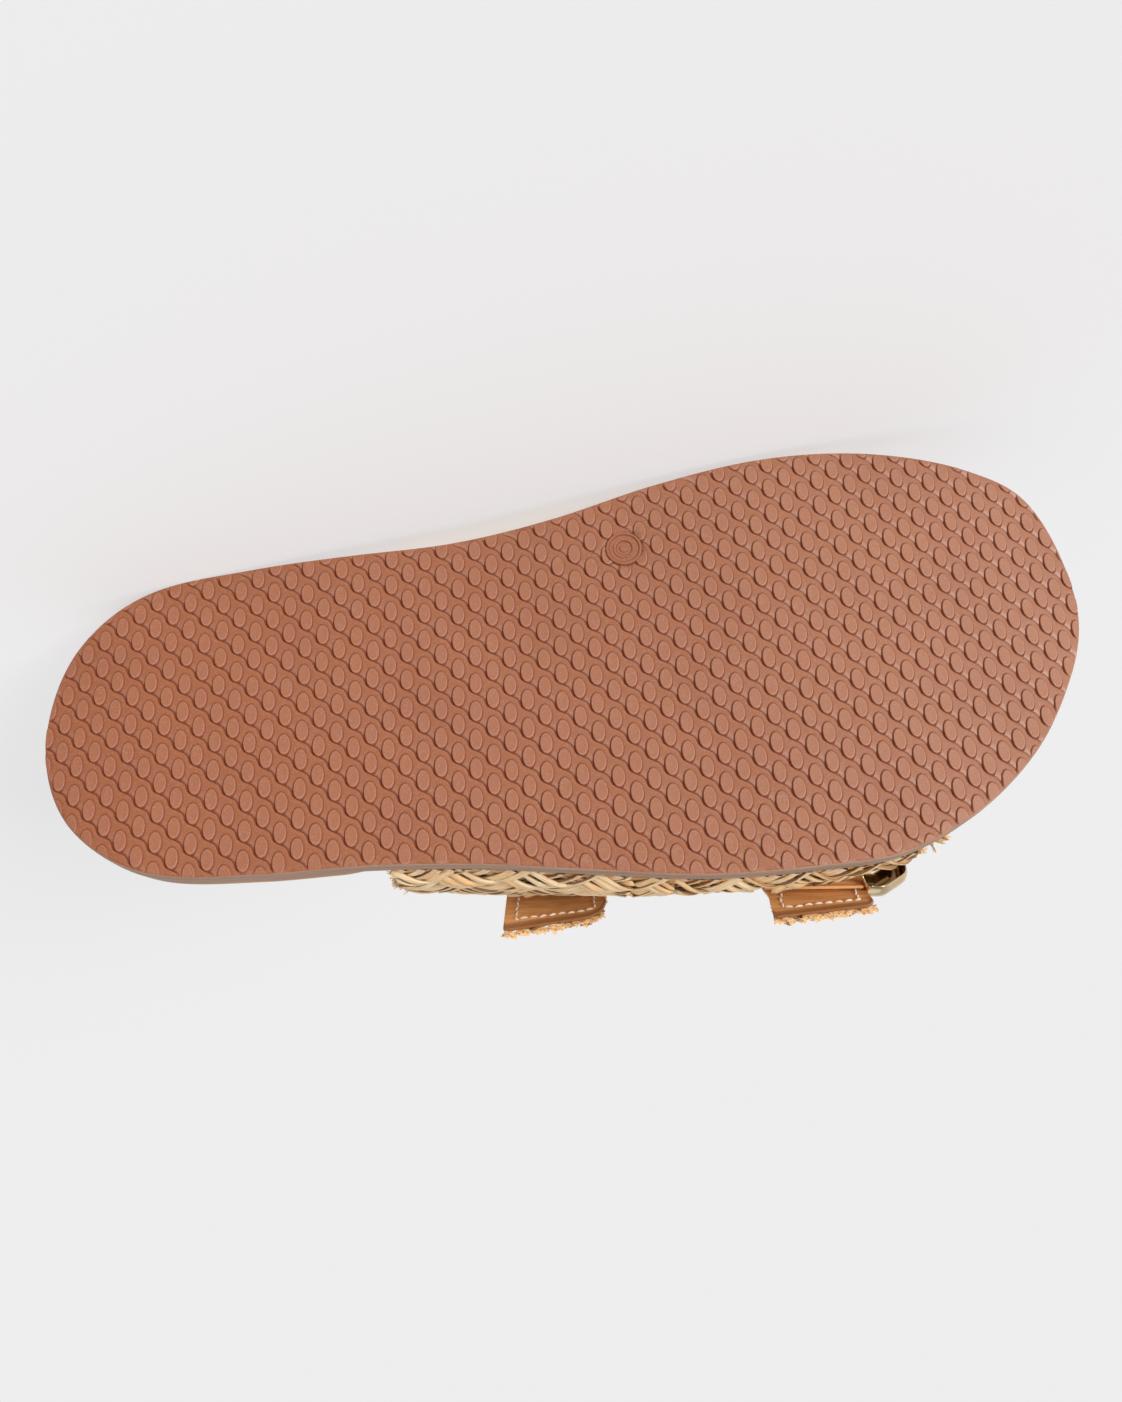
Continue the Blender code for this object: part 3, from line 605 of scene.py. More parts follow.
def studs():
    """Oval studs on the lattice: rings of an ellipse that shrink to a flat top, cut off at the sole's edge."""
    i, j = np.meshgrid(np.arange(-STUDS_EACH_WAY, STUDS_EACH_WAY + 1),
                       np.arange(-CHAINS_EACH_WAY, CHAINS_EACH_WAY + 1))
    middle = bent(STUD_AT + i.reshape(-1, 1) * chain_step + j.reshape(-1, 1) * next_chain)
    off_disc = np.linalg.norm(middle - DISC_AT, axis=1) > DISC_R - STUD_PAST_EDGE
    middle = middle[within(middle, -STUD_PAST_EDGE) & off_disc]
    angle = round_angles(STUD_SIDES)
    oval = np.stack([np.cos(angle), np.sin(angle)], axis=-1) * STUD_HALF
    flat = middle[:, None, None] + oval[None, None] * STUD_RINGS["size"][None, :, None, None]
    inside, _ = pull_inside(flat, STUD_TRIM)
    # painted shade in the stud's crease, darkest on the side towards the rib
    dark = STUD_SHADE_LEAST + (1 - STUD_SHADE_LEAST) * (0.5 + 0.5 * np.cos(angle - STUD_SHADE_SIDE))
    rim = STUD_RINGS["rim"][None, :, None] * dark * ease(edge_distance(inside), 0.1, EDGE_PRESS)
    # painted highlight on the stud's edge, brightest on one side
    pale = STUD_HIGHLIGHT_LEAST + (1 - STUD_HIGHLIGHT_LEAST) * np.clip(np.cos(angle - STUD_HIGHLIGHT_SIDE), 0, 1)
    pale = np.where(STUD_RINGS["size"][:, None] > STUD_RINGS["size"].min(), pale, 1.0)
    highlight_and_pale_top = np.broadcast_to(STUD_RINGS["highlight_and_pale_top"][:, None] * pale, rim.shape)
    in_disc = np.linalg.norm(inside - DISC_AT, axis=-1) < DISC_R
    depth = np.where(in_disc, STUD_PIT, STUD_RINGS["depth"][None, :, None])
    points = on_tread(inside, depth).reshape(len(middle), -1, 3)
    each = points.shape[1]
    sides = copies_of(grid_faces(len(STUD_RINGS), STUD_SIDES, close_columns=True), len(middle), each)
    top = copies_of((each - STUD_SIDES + np.arange(STUD_SIDES))[None], len(middle), each)
    return points, [sides, top], rim, highlight_and_pale_top


points, faces, rim, highlight_and_pale_top = studs()
add_piece("tread_studs", points, faces, tread_rubber, marks={"crease_shade": rim, "highlight_and_pale_top": highlight_and_pale_top},
          sharp=60.0)


def moulded_disc():
    """Small round mark of concentric rings: each ring is a circle at its own depth."""
    angle = round_angles(DISC_SIDES)
    circle = np.stack([np.cos(angle), np.sin(angle)], axis=-1)
    flat = DISC_AT + circle[None] * DISC_RINGS["radius"][:, None, None]
    depth = np.broadcast_to(DISC_RINGS["depth"][:, None], flat.shape[:2])
    # painted shade in the creases between the disc's rings
    crease_shade = np.broadcast_to(DISC_RINGS["crease_shade"][:, None], flat.shape[:2])
    return on_tread(flat, depth), grid_faces(len(DISC_RINGS), DISC_SIDES, close_columns=True), crease_shade


points, faces, crease_shade = moulded_disc()
add_piece("moulded_disc", points, [faces], tread_rubber, closed=False, marks={"crease_shade": crease_shade})

# Insole
# A leather-covered footbed glued on the outsole, with a swell under the arch. Its tan edge shows as a thin
# layer over the outsole's side, and stands back where the raffia goes down between the two.
INSOLE_THICK = 3.2
# Pieces that meet stand this far apart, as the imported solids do
GAP = 0.3
ARCH_RISE, ARCH_AT, ARCH_REACH, ARCH_LEAN = 4.0, 105.0, 38.0, 0.6
EDGE_INSET, PANEL_INSET = 0.2, 1.0
PANEL_FROM, PANEL_TO, INSET_EASE = 78.0, 206.0, 8.0
# share is the height up the insole's edge, out is how far it stands outside the insole's own outline
INSOLE_PROFILE = np.array(
    [(0.0, -2.0), (0.0, -0.5), (0.06, -0.2), (0.3, 0.0), (0.62, 0.0), (0.82, -0.15), (0.94, -0.5), (1.0, -1.1),
     (1.0, -2.2), (1.0, -4.0)],
    dtype=[("share", float), ("out", float)],
)
FOOTBED_SHARES = (0.93, 0.86, 0.78, 0.7, 0.6, 0.5, 0.4, 0.3, 0.2, 0.1, 0.0)
WRINKLE_SCALE, PORE_HEIGHT = (90.0, 700.0, 240.0), 0.35
RAW_LEATHER = srgb(150, 100, 58)


def deck(x, across):
    """Height of the outsole's top."""
    return underside(x, across) + OUTSOLE_THICK


def footbed(x, across):
    """Height of the insole's top: its thickness, and a swell under the arch that dies out at the edges."""
    swell = np.exp(-(((x - ARCH_AT) / ARCH_REACH) ** 2)) * (1 - across**2) * (1 - ARCH_LEAN * across)
    return deck(x, across) + GAP + INSOLE_THICK + ARCH_RISE * swell


def leather_material(name, pale, dark, wrinkle_turn, wrinkled):
    """Smooth tan leather: cloudy colour, fine pores, wrinkles that run one way, brown where it is cut raw."""
    material, tree, shader = new_material(name, 0.5, specular=0.4)
    cloud, grain = add_grain(tree, 70.0, 3200.0)
    wrinkle = drawn_noise(tree, place_on(tree), WRINKLE_SCALE, 4.0, turn=wrinkle_turn, Distortion=0.6)
    drawn = reckon(tree, "MULTIPLY", spread(tree, wrinkle, 0.0, 1.0, 0.32, 0.66), wrinkled)
    share = reckon(tree, "ADD", drawn, reckon(tree, "MULTIPLY", cloud, 1 - wrinkled))
    colour = mixed(tree, mark_on(tree, "raw"), mixed(tree, share, dark, pale), RAW_LEATHER)
    tree.links.new(colour, shader.inputs["Base Color"])
    tree.links.new(spread(tree, grain, 0.42, 0.62), shader.inputs["Roughness"])
    height = reckon(tree, "ADD", wrinkle, reckon(tree, "MULTIPLY", grain, PORE_HEIGHT))
    add_bump(tree, shader, height, 0.6 * wrinkled, 0.0004)
    return material


def insole_rows():
    """Insole's shell: its profile carried round the outline, closed under it and over the swelling footbed."""
    covered = ease(outline[:, 0], PANEL_FROM - INSET_EASE, PANEL_FROM)
    covered = covered * ease(-outline[:, 0], -PANEL_TO - INSET_EASE, -PANEL_TO)
    inset = EDGE_INSET + (PANEL_INSET - EDGE_INSET) * covered
    rows = []
    for row in INSOLE_PROFILE:
        flat = outline + outward * (row["out"] - inset)[:, None]
        across = across_of(flat[:, 0], flat[:, 1])
        low = deck(flat[:, 0], across) + GAP
        rows.append(np.column_stack([flat, low + (footbed(flat[:, 0], across) - low) * row["share"]]))
    spine = middle_line(outline[:, 0], SPINE_MARGINS)
    top = []
    for share in FOOTBED_SHARES:
        flat = spine + (rows[-1][:, :2] - spine) * share
        top.append(np.column_stack([flat, footbed(flat[:, 0], across_of(flat[:, 0], flat[:, 1]))]))
    under = to_spine(rows[0], deck, GAP)
    return np.concatenate([under[::-1], np.array(rows), np.array(top)])


rows = insole_rows()
insole_leather = leather_material("insole_leather", srgb(192, 148, 113), srgb(166, 120, 88),
                                  wrinkle_turn=(0.0, 0.0, 0.1), wrinkled=0.25)
insole = add_piece("insole_footbed", rows, [grid_faces(len(rows), OUTLINE_POINTS, close_columns=True)],
                   insole_leather, sharp=70.0)
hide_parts("insole")

# Upper lining
# Two straps that rise from one medial side panel, cross the instep and end as free tails through their buckles.
# Their inside is a thin tan leather, cut to the straps' shape and sewn to the raffia near its edges.
# height is of the foot's arch over the outsole, lean is how far its ridge leans to the medial side
LAST_SECTIONS = np.array(
    [
        (70.0, 80.0, 6.0),
        (95.0, 73.0, 8.0),
        (120.0, 66.0, 9.0),
        (150.0, 58.0, 9.0),
        (185.0, 50.0, 8.0),
        (215.0, 44.0, 7.0),
    ],
    dtype=[("x", float), ("height", float), ("lean", float)],
)
MEDIAL_FLANK_POWER, LATERAL_FLANK_POWER, CROWN_POWER, MEDIAL_BULGE = 0.55, 0.9, 0.75, 3.5
ARC_SAMPLES = 400
WALL, TAB_WALL = 1.8, 1.4
LINING = 0.75
TIP_ROWS, RAW_ROWS, RAW_EASE = 1, 4, 1.5
# Each strap's reach along x at the sole, over the instep and at its buckle, its buckle's height and turn, and
# its tail: its length, how far its tip is slanted, lifted, twisted and narrowed, and how round its corners are;
# tuck is how far the toe end of the lateral panel is drawn in under the buckle, and the frame hangs a little
# turned and shifted
STRAPS = {
    "rear": {
        "sole": (82.0, 138.0),
        "instep": (97.0, 140.0),
        "buckle": (106.5, 133.5),
        "buckle_height": 57.0,
        "buckle_yaw": 5.0,
        "tail_length": 18.0,
        "tail_slant": 2.5,
        "tail_lift": -0.8,
        "tail_twist": 0.6,
        "tail_narrow": 0.0,
        "tail_corners": (0.8, 6.5),
        "tuck": 0.0,
        "frame_turn": 0.0,
        "frame_up": 1.8,
    },
    "front": {
        "sole": (148.0, 206.0),
        "instep": (161.0, 204.0),
        "buckle": (172.5, 199.5),
        "buckle_height": 41.0,
        "buckle_yaw": 5.0,
        "tail_length": 14.5,
        "tail_slant": 0.6,
        "tail_lift": -2.4,
        "tail_twist": 1.3,
        "tail_narrow": 1.8,
        "tail_corners": (1.0, 2.0),
        "tuck": 5.5,
        "frame_turn": -4.6,
        "frame_up": 0.6,
    },
}
INSTEP_AT, NARROW_FROM, STRAIGHT_FROM, NARROW_END = 0.34, 0.45, 0.62, 0.04
PANEL_NARROW_FROM, TAB_MARGIN = 0.3, 1.0
TUCK_FULL_AT, TUCK_EASE = 0.7, 9.0
LOCAL_REACH, LOCAL_EASE = 16.0, 3.0
HEEL_BAR_R, BAR_APART, FRAME_HALF_THICK = 1.3, 14.0, 2.4
LOOP_R = HEEL_BAR_R + GAP + TAB_WALL / 2
HEEL_BAR_U = -BAR_APART / 2
HEEL_BAR_N = TAB_WALL / 2 + LOOP_R
FREE_BAR_N = WALL + GAP + FRAME_HALF_THICK + 0.7
OVER_BAR_N = HEEL_BAR_N + LOOP_R + TAB_WALL / 2 + WALL / 2 + 0.6
# The strap's way through its buckle: u up the strap, rise over its flat lie
STRAP_CLIMB = np.array(
    [(LOCAL_REACH, 0.0), (10.0, 0.3), (4.6, 0.4), (2.4, 1.5), (-0.4, 4.1)],
    dtype=[("u", float), ("rise", float)],
)
CREST_U, CREST_DROP = -3.6, 0.9
TAIL_SHARES = (0.0, 0.35, 0.7, 1.0)
TAIL_NARROWS = (3.0, 12.0)
STRAP_ROWS, BUCKLE_ROWS, STRAP_COLUMNS = 110, 44, 30
# The notch between the straps starts at this share of their rows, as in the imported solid
UPPER_NOTCH_ROWS = 4 * STRAP_ROWS // 28 + 1
NOTCH_COLUMNS = 12


def last_point(x, t):
    """Inner face of the straps: an arch from the medial edge, t = 0, over the instep to the lateral, t = 1."""
    x, t = np.broadcast_arrays(np.asarray(x, float), np.asarray(t, float))
    medial, lateral = sole_reach(x)
    medial = medial - PANEL_INSET + GAP
    lateral = lateral - PANEL_INSET + GAP
    height = curve_through(LAST_SECTIONS["x"], LAST_SECTIONS["height"], x)
    lean = curve_through(LAST_SECTIONS["x"], LAST_SECTIONS["lean"], x)
    cosine = np.cos(np.pi * t)
    sine = np.clip(np.sin(np.pi * t), 0.0, 1.0)
    power = np.where(t < 0.5, MEDIAL_FLANK_POWER, LATERAL_FLANK_POWER)
    flank = np.sign(cosine) * np.abs(cosine) ** power
    bulge = np.where(t < 0.5, MEDIAL_BULGE * np.sin(2 * np.pi * t) ** 2, 0.0)
    y = (lateral - medial) / 2 - (lateral + medial) / 2 * flank - lean * sine**2 - bulge
    z = deck(x, np.where(t < 0.5, -1.0, 1.0)) + GAP + height * sine**CROWN_POWER
    return np.stack([x, y, z], axis=-1)


def buckle_place(strap):
    """Middle of the buckle on the lateral flank and its axes: e along the bars, u up the strap, n outwards."""
    x = sum(strap["buckle"]) / 2
    height = curve_through(LAST_SECTIONS["x"], LAST_SECTIONS["height"], np.array([x]))[0]
    rise = strap["buckle_height"] - deck(x, 1.0) - GAP
    t = 1 - math.asin((rise / height) ** (1 / CROWN_POWER)) / math.pi
    step = 1e-3
    up = last_point(x, t - step) - last_point(x, t + step)
    yaw = math.radians(strap["buckle_yaw"])
    e = np.array([math.cos(yaw), math.sin(yaw), 0.0])
    u = unit(up - e * (up @ e))
    speed = np.linalg.norm(up) / (2 * step)
    return {"x": x, "t": t, "speed": speed, "middle": last_point(x, t), "e": e, "u": u, "n": np.cross(u, e)}


def in_buckle_plane(place, e, u, n):
    """Points given by distances along the buckle's own axes."""
    e, u, n = (v[..., None] for v in np.broadcast_arrays(e, u, n))
    return place["middle"] + e * place["e"] + u * place["u"] + n * place["n"]


def length_along(way):
    """Length from the start of a way to each of its points."""
    return np.concatenate([[0.0], np.cumsum(np.linalg.norm(np.diff(way, axis=0), axis=1))])


def arc_rows(x, t_from, t_to, rows):
    """Values of t between two ends that are evenly spaced along the last's arch at x."""
    t = np.linspace(t_from, t_to, ARC_SAMPLES)
    run = length_along(last_point(x, t))
    return np.interp(np.linspace(0, run[-1], rows + 1), run, t)


def smooth_way(way, count):
    """Evenly spaced points of a smooth curve through a short list of points, by the length along it."""
    run = length_along(way)
    at = np.linspace(0, run[-1], count)
    return np.stack([curve_through(run, way[:, k], at) for k in range(way.shape[1])], axis=-1)


def corner_cut(radius, way_in):
    """How much a rounded corner takes off an end: a quarter circle, by the way in from the side."""
    left = np.clip(radius - way_in, 0.0, radius)
    return radius - np.sqrt(radius**2 - left**2)


def strap_sheet(strap, place):
    """Middle surface of one strap from the medial sole edge to its tail's tip, and x over the flat strap."""
    shares = np.linspace(0, 1, STRAP_COLUMNS + 1)
    t_end = place["t"] - (LOCAL_REACH + LOCAL_EASE) / place["speed"]
    t = arc_rows(place["x"], 0.0, t_end, STRAP_ROWS)[:, None]
    rise = ease(t, 0.0, INSTEP_AT)
    narrow = ease(t, NARROW_FROM, place["t"] - NARROW_END)
    ends = []
    for sole, instep, buckle in zip(strap["sole"], strap["instep"], strap["buckle"]):
        width = sole + (instep - sole) * rise
        ends.append(width + (buckle - width) * narrow)
    x = ends[0] + (ends[1] - ends[0]) * shares
    on_last = last_point(x, t)
    straight = last_point(np.full_like(x, place["x"]), t) + (x - place["x"])[..., None] * place["e"]
    over_instep = on_last + (straight - on_last) * ease(t, STRAIGHT_FROM, t_end)[..., None]
    way = [(row["u"], WALL / 2 + row["rise"]) for row in STRAP_CLIMB]
    way.append((CREST_U, OVER_BAR_N - CREST_DROP))
    way += [(HEEL_BAR_U - s * strap["tail_length"], OVER_BAR_N + s * strap["tail_lift"]) for s in TAIL_SHARES]
    way = smooth_way(np.array(way), BUCKLE_ROWS)
    e = (shares - 0.5) * (strap["buckle"][1] - strap["buckle"][0])
    towards_tip = ease(-way[:, :1], -HEEL_BAR_U, -way[-1, 0])
    tail = towards_tip * (shares - 0.5) * 2
    cut = sum(corner_cut(r, way_in) for r, way_in in zip(strap["tail_corners"], (e - e[0], e[-1] - e)))
    narrow = strap["tail_narrow"] * ease(-way[:, :1], *TAIL_NARROWS) * (1 - shares)
    through = in_buckle_plane(place, e + narrow, way[:, :1] + strap["tail_slant"] * tail + cut * towards_tip,
                              way[:, 1:] - strap["tail_twist"] * tail)
    flat_x = np.concatenate([x, np.broadcast_to(place["x"] + e, (BUCKLE_ROWS, len(e)))])
    return np.concatenate([over_instep, through]), flat_x


def sheet_normals(sheet, outward_guess):
    """Unit normals of a sheet of points, turned to the side of the given rough direction."""
    normal = unit(np.cross(np.gradient(sheet, axis=0), np.gradient(sheet, axis=1)))
    return normal * np.sign((normal[:3] * outward_guess).sum())


places = {name: buckle_place(strap) for name, strap in STRAPS.items()}
MEDIAL_OUT, LATERAL_OUT = np.array([0.0, -1.0, 0.3]), np.array([0.0, 1.0, 0.3])


def sheets_from(surface, foot_rows, wall, notch_rows, out):
    """Both straps' sheets and the piece between their feet: inner face, normals, and x over the flat sheet."""
    sheets = []
    for name, strap in STRAPS.items():
        middle, x = surface(strap, places[name])
        normal = sheet_normals(middle, out)
        on_foot = (np.arange(len(middle)) <= foot_rows)[:, None, None]
        sheets.append({"inner": middle - normal * np.where(on_foot, 0.0, wall / 2), "normal": normal, "x": x})
    shares = np.linspace(0, 1, NOTCH_COLUMNS + 1)
    rear, front = ({name: field[:notch_rows] for name, field in sheet.items()} for sheet in sheets)
    inner = rear["inner"][:, -1:] + (front["inner"][:, :1] - rear["inner"][:, -1:]) * shares[:, None]
    x = rear["x"][:, -1:] + (front["x"][:, :1] - rear["x"][:, -1:]) * shares
    sheets.append({"inner": inner, "normal": sheet_normals(inner, out), "x": x})
    return sheets


def lining_walls(sheets, thick):
    """Closed thin walls on the inner faces of some sheets: both faces of each, joined round its border."""
    points, faces = [], []
    for sheet in sheets:
        rows, columns = sheet["x"].shape
        outer = sheet["inner"] + sheet["normal"] * thick
        first = sum(len(p) for p in points)
        quads = grid_faces(rows, columns)
        ring = np.concatenate([np.arange(columns), np.arange(1, rows) * columns + columns - 1,
                               (rows - 1) * columns + np.arange(columns - 1)[::-1],
                               np.arange(1, rows - 1)[::-1] * columns])
        after = np.roll(ring, -1)
        count = rows * columns
        rim = np.stack([ring, after, after + count, ring + count], axis=-1)
        points.append(np.concatenate([sheet["inner"].reshape(-1, 3), outer.reshape(-1, 3)]))
        faces.append(first + np.concatenate([quads, quads[:, ::-1] + count, rim]))
    return np.concatenate(points), np.concatenate(faces)


def without_tip(sheet):
    """The same sheet without its last rows: the lining stops short of the raffia's raw tip."""
    return {name: field[:-TIP_ROWS] for name, field in sheet.items()}


upper = sheets_from(strap_sheet, STRAP_ROWS, WALL, UPPER_NOTCH_ROWS, MEDIAL_OUT)
lined = [without_tip(upper[0]), without_tip(upper[1]), upper[2]]
lining_leather = leather_material("lining_leather", srgb(236, 178, 114), srgb(192, 128, 68),
                                  wrinkle_turn=(0.0, 0.35, 0.0), wrinkled=0.65)
points, faces = lining_walls(lined, LINING)
raw = []
for sheet in lined:
    rows, columns = sheet["x"].shape
    tip = ease(np.arange(rows), rows - RAW_ROWS, rows - RAW_ROWS + RAW_EASE) * (rows > STRAP_ROWS)
    raw.append(np.tile(np.repeat(tip, columns), 2))
raw = np.concatenate(raw)
add_piece("upper_lining", points, [faces], lining_leather, marks={"raw": raw}, sharp=50.0)

# Upper weave
# Bundles of flat raffia strips cross at an angle, each bundle over one and under one. They cover the outside of
# the lining, go down between the sole's layers, and are cut off raw at the straps' edges.
WEAVE_ANGLE = math.radians(39)
BUNDLE_WIDTH = 10.4
STRIPS_IN_BUNDLE = 4
STRIP_THICK = 0.56
WEAVE_RISE = 0.66
STRIP_STEP = 1.1
RAGGED = 0.9
TAIL_KEEP = 1.1
SOLE_DEPTH = 1.6
# A strip strays by a share of its pitch, sways and rolls by slow waves, and lies a little high or low
STRIP_STRAY, STRIP_UNEVEN = 0.22, 0.10
STRIP_SWAY, SWAY_PER_MM = 0.35, (0.15, 0.3)
STRIP_ROLL, ROLL_PER_MM = 0.35, (0.1, 0.25)
ANY_PHASE = (0.0, 6.3)
STRIP_HALF_WIDE = (0.42, 0.54)
# Painted shade: a strip is darkened where it dips under a crossing bundle, less on its top than beneath it, and
# along its edges between strips
DIP_TOP = 0.55
STRIP_EDGE_SHADE = 0.85
FIBRE_SCALE = (14.0, 0.25, 1.0)
STRAW_TONES = srgb(252, 208, 150), srgb(255, 245, 210)
FIBRE_SHADE, GAP_SHADE = srgb(222, 168, 106), srgb(84, 46, 20)
# side is across the strip, lift is over it: a flat strip with folded edges
STRIP_PROFILE = np.array(
    [(-1.0, 0.0), (-0.82, 0.62), (-0.05, 0.95), (0.80, 0.72), (1.0, 0.05), (0.0, -0.7)],
    dtype=[("side", float), ("lift", float)],
)


def sample_sheet(field, row, column):
    """Value of a grid field at fractional rows and columns, mixed from the four nearest points."""
    r = np.clip(row.astype(int), 0, field.shape[0] - 2)
    c = np.clip(column.astype(int), 0, field.shape[1] - 2)
    u, v = np.clip(row - r, 0, 1)[..., None], np.clip(column - c, 0, 1)[..., None]
    low = field[r, c] * (1 - v) + field[r, c + 1] * v
    high = field[r + 1, c] * (1 - v) + field[r + 1, c + 1] * v
    return low * (1 - u) + high * u


def sheet_run(sheet):
    """Length from a sheet's first row to each of its rows, along its middle column."""
    return length_along(sheet["inner"][:, sheet["inner"].shape[1] // 2])


def slow_wave(s, per_mm, count, rng):
    """A wave along each of many strips, with its own length and phase."""
    return np.sin(s[None] * rng.uniform(*per_mm, (count, 1)) + rng.uniform(*ANY_PHASE, (count, 1)))


def woven_strips(sheet, seed):
    """Strips of both diagonals of one sheet. A strip is a straight line over the flat sheet; its height swings
    as a sine with the bundles that it crosses, and where it leaves the sheet it closes to its middle line."""
    rng = np.random.default_rng(seed)
    run = sheet_run(sheet)
    x_low, x_high = sheet["x"][:, 0], sheet["x"][:, -1]
    s = np.minimum(np.arange(0.0, run[-1] + STRIP_STEP, STRIP_STEP), run[-1])
    row = np.interp(s, run, np.arange(len(run)))
    sunk = np.where(s == 0, SOLE_DEPTH, 0.0)
    low, high = np.interp(s, run, x_low), np.interp(s, run, x_high)
    keep_in = np.where(row > STRAP_ROWS, TAIL_KEEP, 0.0) / (high - low)
    sine, cosine = math.sin(WEAVE_ANGLE), math.cos(WEAVE_ANGLE)
    pitch = BUNDLE_WIDTH / STRIPS_IN_BUNDLE
    all_points, all_faces, tones, uvs, dips = [], [], [], [], []
    for slant in (1.0, -1.0):
        reach = [(-slant * x * sine + y * cosine) for x in (x_low.min(), x_high.max()) for y in (0.0, run[-1])]
        numbers = np.arange(math.floor(min(reach) / pitch), math.ceil(max(reach) / pitch) + 1)
        count = len(numbers)
        offset = (numbers + 0.5 + rng.uniform(-STRIP_STRAY, STRIP_STRAY, count)) * pitch
        x = slant * (s[None] * cosine - offset[:, None]) / sine
        x = x + STRIP_SWAY * slow_wave(s, SWAY_PER_MM, count, rng)
        share = (x - low) / (high - low)
        inside = (share >= keep_in) & (share <= 1 - keep_in)
        inside = inside & (s[None] <= run[-1] - rng.uniform(0, RAGGED, (count, 1)))
        keep = inside.sum(axis=1) > 1
        x, share, inside, numbers = x[keep], share[keep], inside[keep], numbers[keep]
        count = len(numbers)
        column = np.clip(share, keep_in, 1 - keep_in) * (sheet["x"].shape[1] - 1)
        rows = np.broadcast_to(row, column.shape)
        at = sample_sheet(sheet["inner"], rows, column)
        at[..., 2] -= sunk
        normal = unit(sample_sheet(sheet["normal"], rows, column))
        crossing = (slant * x * sine + s[None] * cosine) / BUNDLE_WIDTH
        bundle = np.floor(numbers / STRIPS_IN_BUNDLE)[:, None]
        swing = slant * np.cos(np.pi * bundle) * np.sin(np.pi * crossing)
        lift = np.interp(s, run, sheet["base"]) + np.interp(s, run, sheet["rise"]) * swing
        lift = lift + rng.uniform(-STRIP_UNEVEN, STRIP_UNEVEN, (count, 1))
        at = at + normal * lift[..., None]
        ahead = unit(np.gradient(at, axis=1))
        side = np.cross(normal, ahead)
        roll = STRIP_ROLL * slow_wave(s, ROLL_PER_MM, count, rng)
        side, top = (side * np.cos(roll)[..., None] + normal * np.sin(roll)[..., None],
                     normal * np.cos(roll)[..., None] - side * np.sin(roll)[..., None])
        half = pitch * rng.uniform(*STRIP_HALF_WIDE, (count, 1)) * inside
        thick = STRIP_THICK * inside
        ring = (side[:, :, None] * (half[:, :, None] * STRIP_PROFILE["side"])[..., None]
                + top[:, :, None] * (thick[:, :, None] * STRIP_PROFILE["lift"])[..., None])
        points = at[:, :, None] + ring
        each, around = len(s), len(STRIP_PROFILE)
        faces = copies_of(grid_faces(each, around, close_columns=True), count, each * around)
        shown = np.repeat(inside, around, axis=1).ravel()
        faces = faces[shown[faces].any(axis=1)]
        used, faces = np.unique(faces, return_inverse=True)
        all_faces.append(faces.reshape(-1, 4) + sum(len(p) for p in all_points))
        all_points.append(points.reshape(-1, 3)[used])
        tone = np.broadcast_to(rng.uniform(0, 1, (count, 1, 1)), points.shape[:3])
        tones.append(tone.ravel()[used])
        # painted shade where the strip dips under a crossing bundle, and along its edges
        under = ease(-swing, -0.1, 0.9)[:, :, None] * np.where(STRIP_PROFILE["lift"] < 0, 1.0, DIP_TOP)
        under = np.maximum(under, STRIP_EDGE_SHADE * (np.abs(STRIP_PROFILE["side"]) == 1.0))
        dips.append(np.broadcast_to(under, points.shape[:3]).ravel()[used])
        across = np.arange(around) / around + rng.uniform(0, 40, (count, 1, 1))
        across = np.broadcast_to(across, points.shape[:3])
        length = np.broadcast_to(s[None, :, None], points.shape[:3])
        uvs.append(np.stack([across, length], axis=-1).reshape(-1, 2)[used])
    return [np.concatenate(part) for part in (all_points, all_faces, tones, uvs, dips)]


def raffia_material():
    """Dried palm strip: straw colour that differs from strip to strip, with fine fibres along its length, and
    painted shade where it dips and between strips.
    """
    material, tree, shader = new_material("raffia_strip", 0.55, specular=0.4)
    along = put(tree, "ShaderNodeUVMap", uv_map="along").outputs[0]
    fibre = drawn_noise(tree, along, FIBRE_SCALE, 3.0, Roughness=0.6)
    straw = mixed(tree, mark_on(tree, "tone"), *STRAW_TONES)
    colour = mixed(tree, spread(tree, fibre, 0.0, 1.0, 0.3, 0.75), FIBRE_SHADE, straw)
    # painted shade where strips dip and between them
    tree.links.new(mixed(tree, mark_on(tree, "dip_shade"), colour, GAP_SHADE), shader.inputs["Base Color"])
    tree.links.new(spread(tree, fibre, 0.45, 0.7), shader.inputs["Roughness"])
    add_bump(tree, shader, fibre, 0.5, 0.0003)
    return material


def joined(parts):
    """Meshes one after another: points and marks in a row, faces counted on."""
    points, faces, *marks = zip(*parts)
    starts = np.cumsum([0] + [len(p) for p in points[:-1]])
    faces = np.concatenate([f + start for f, start in zip(faces, starts)])
    return np.concatenate(points), faces, *(np.concatenate(mark) for mark in marks)


raffia = raffia_material()
WEAVE_BASE = 1.40
AT_SOLE, DRAWN_IN = (0.2, 0.25), (-1.0, 6.5)


def weave_heights(sheet, base, rise):
    """Height and swing of the weave row by row: it is drawn in where it goes between the sole's layers."""
    run = sheet_run(sheet)
    full = ease(run, *DRAWN_IN)
    sheet["base"] = AT_SOLE[0] + (base - AT_SOLE[0]) * full
    sheet["rise"] = AT_SOLE[1] + (rise - AT_SOLE[1]) * full


def weave_piece(name, sheets, base, rise, seed):
    """The strips of some sheets, joined as one piece."""
    parts = []
    for k, sheet in enumerate(sheets):
        weave_heights(sheet, base, rise)
        parts.append(woven_strips(sheet, seed + k))
    points, faces, tone, uv, dip_shade = joined(parts)
    marks = {"tone": tone, "dip_shade": dip_shade}
    return add_piece(name, points, [faces], raffia, marks=marks, uv=uv, sharp=180.0)


upper_weave = weave_piece("upper_weave", upper, WEAVE_BASE, WEAVE_RISE, 11)
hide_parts("upper")

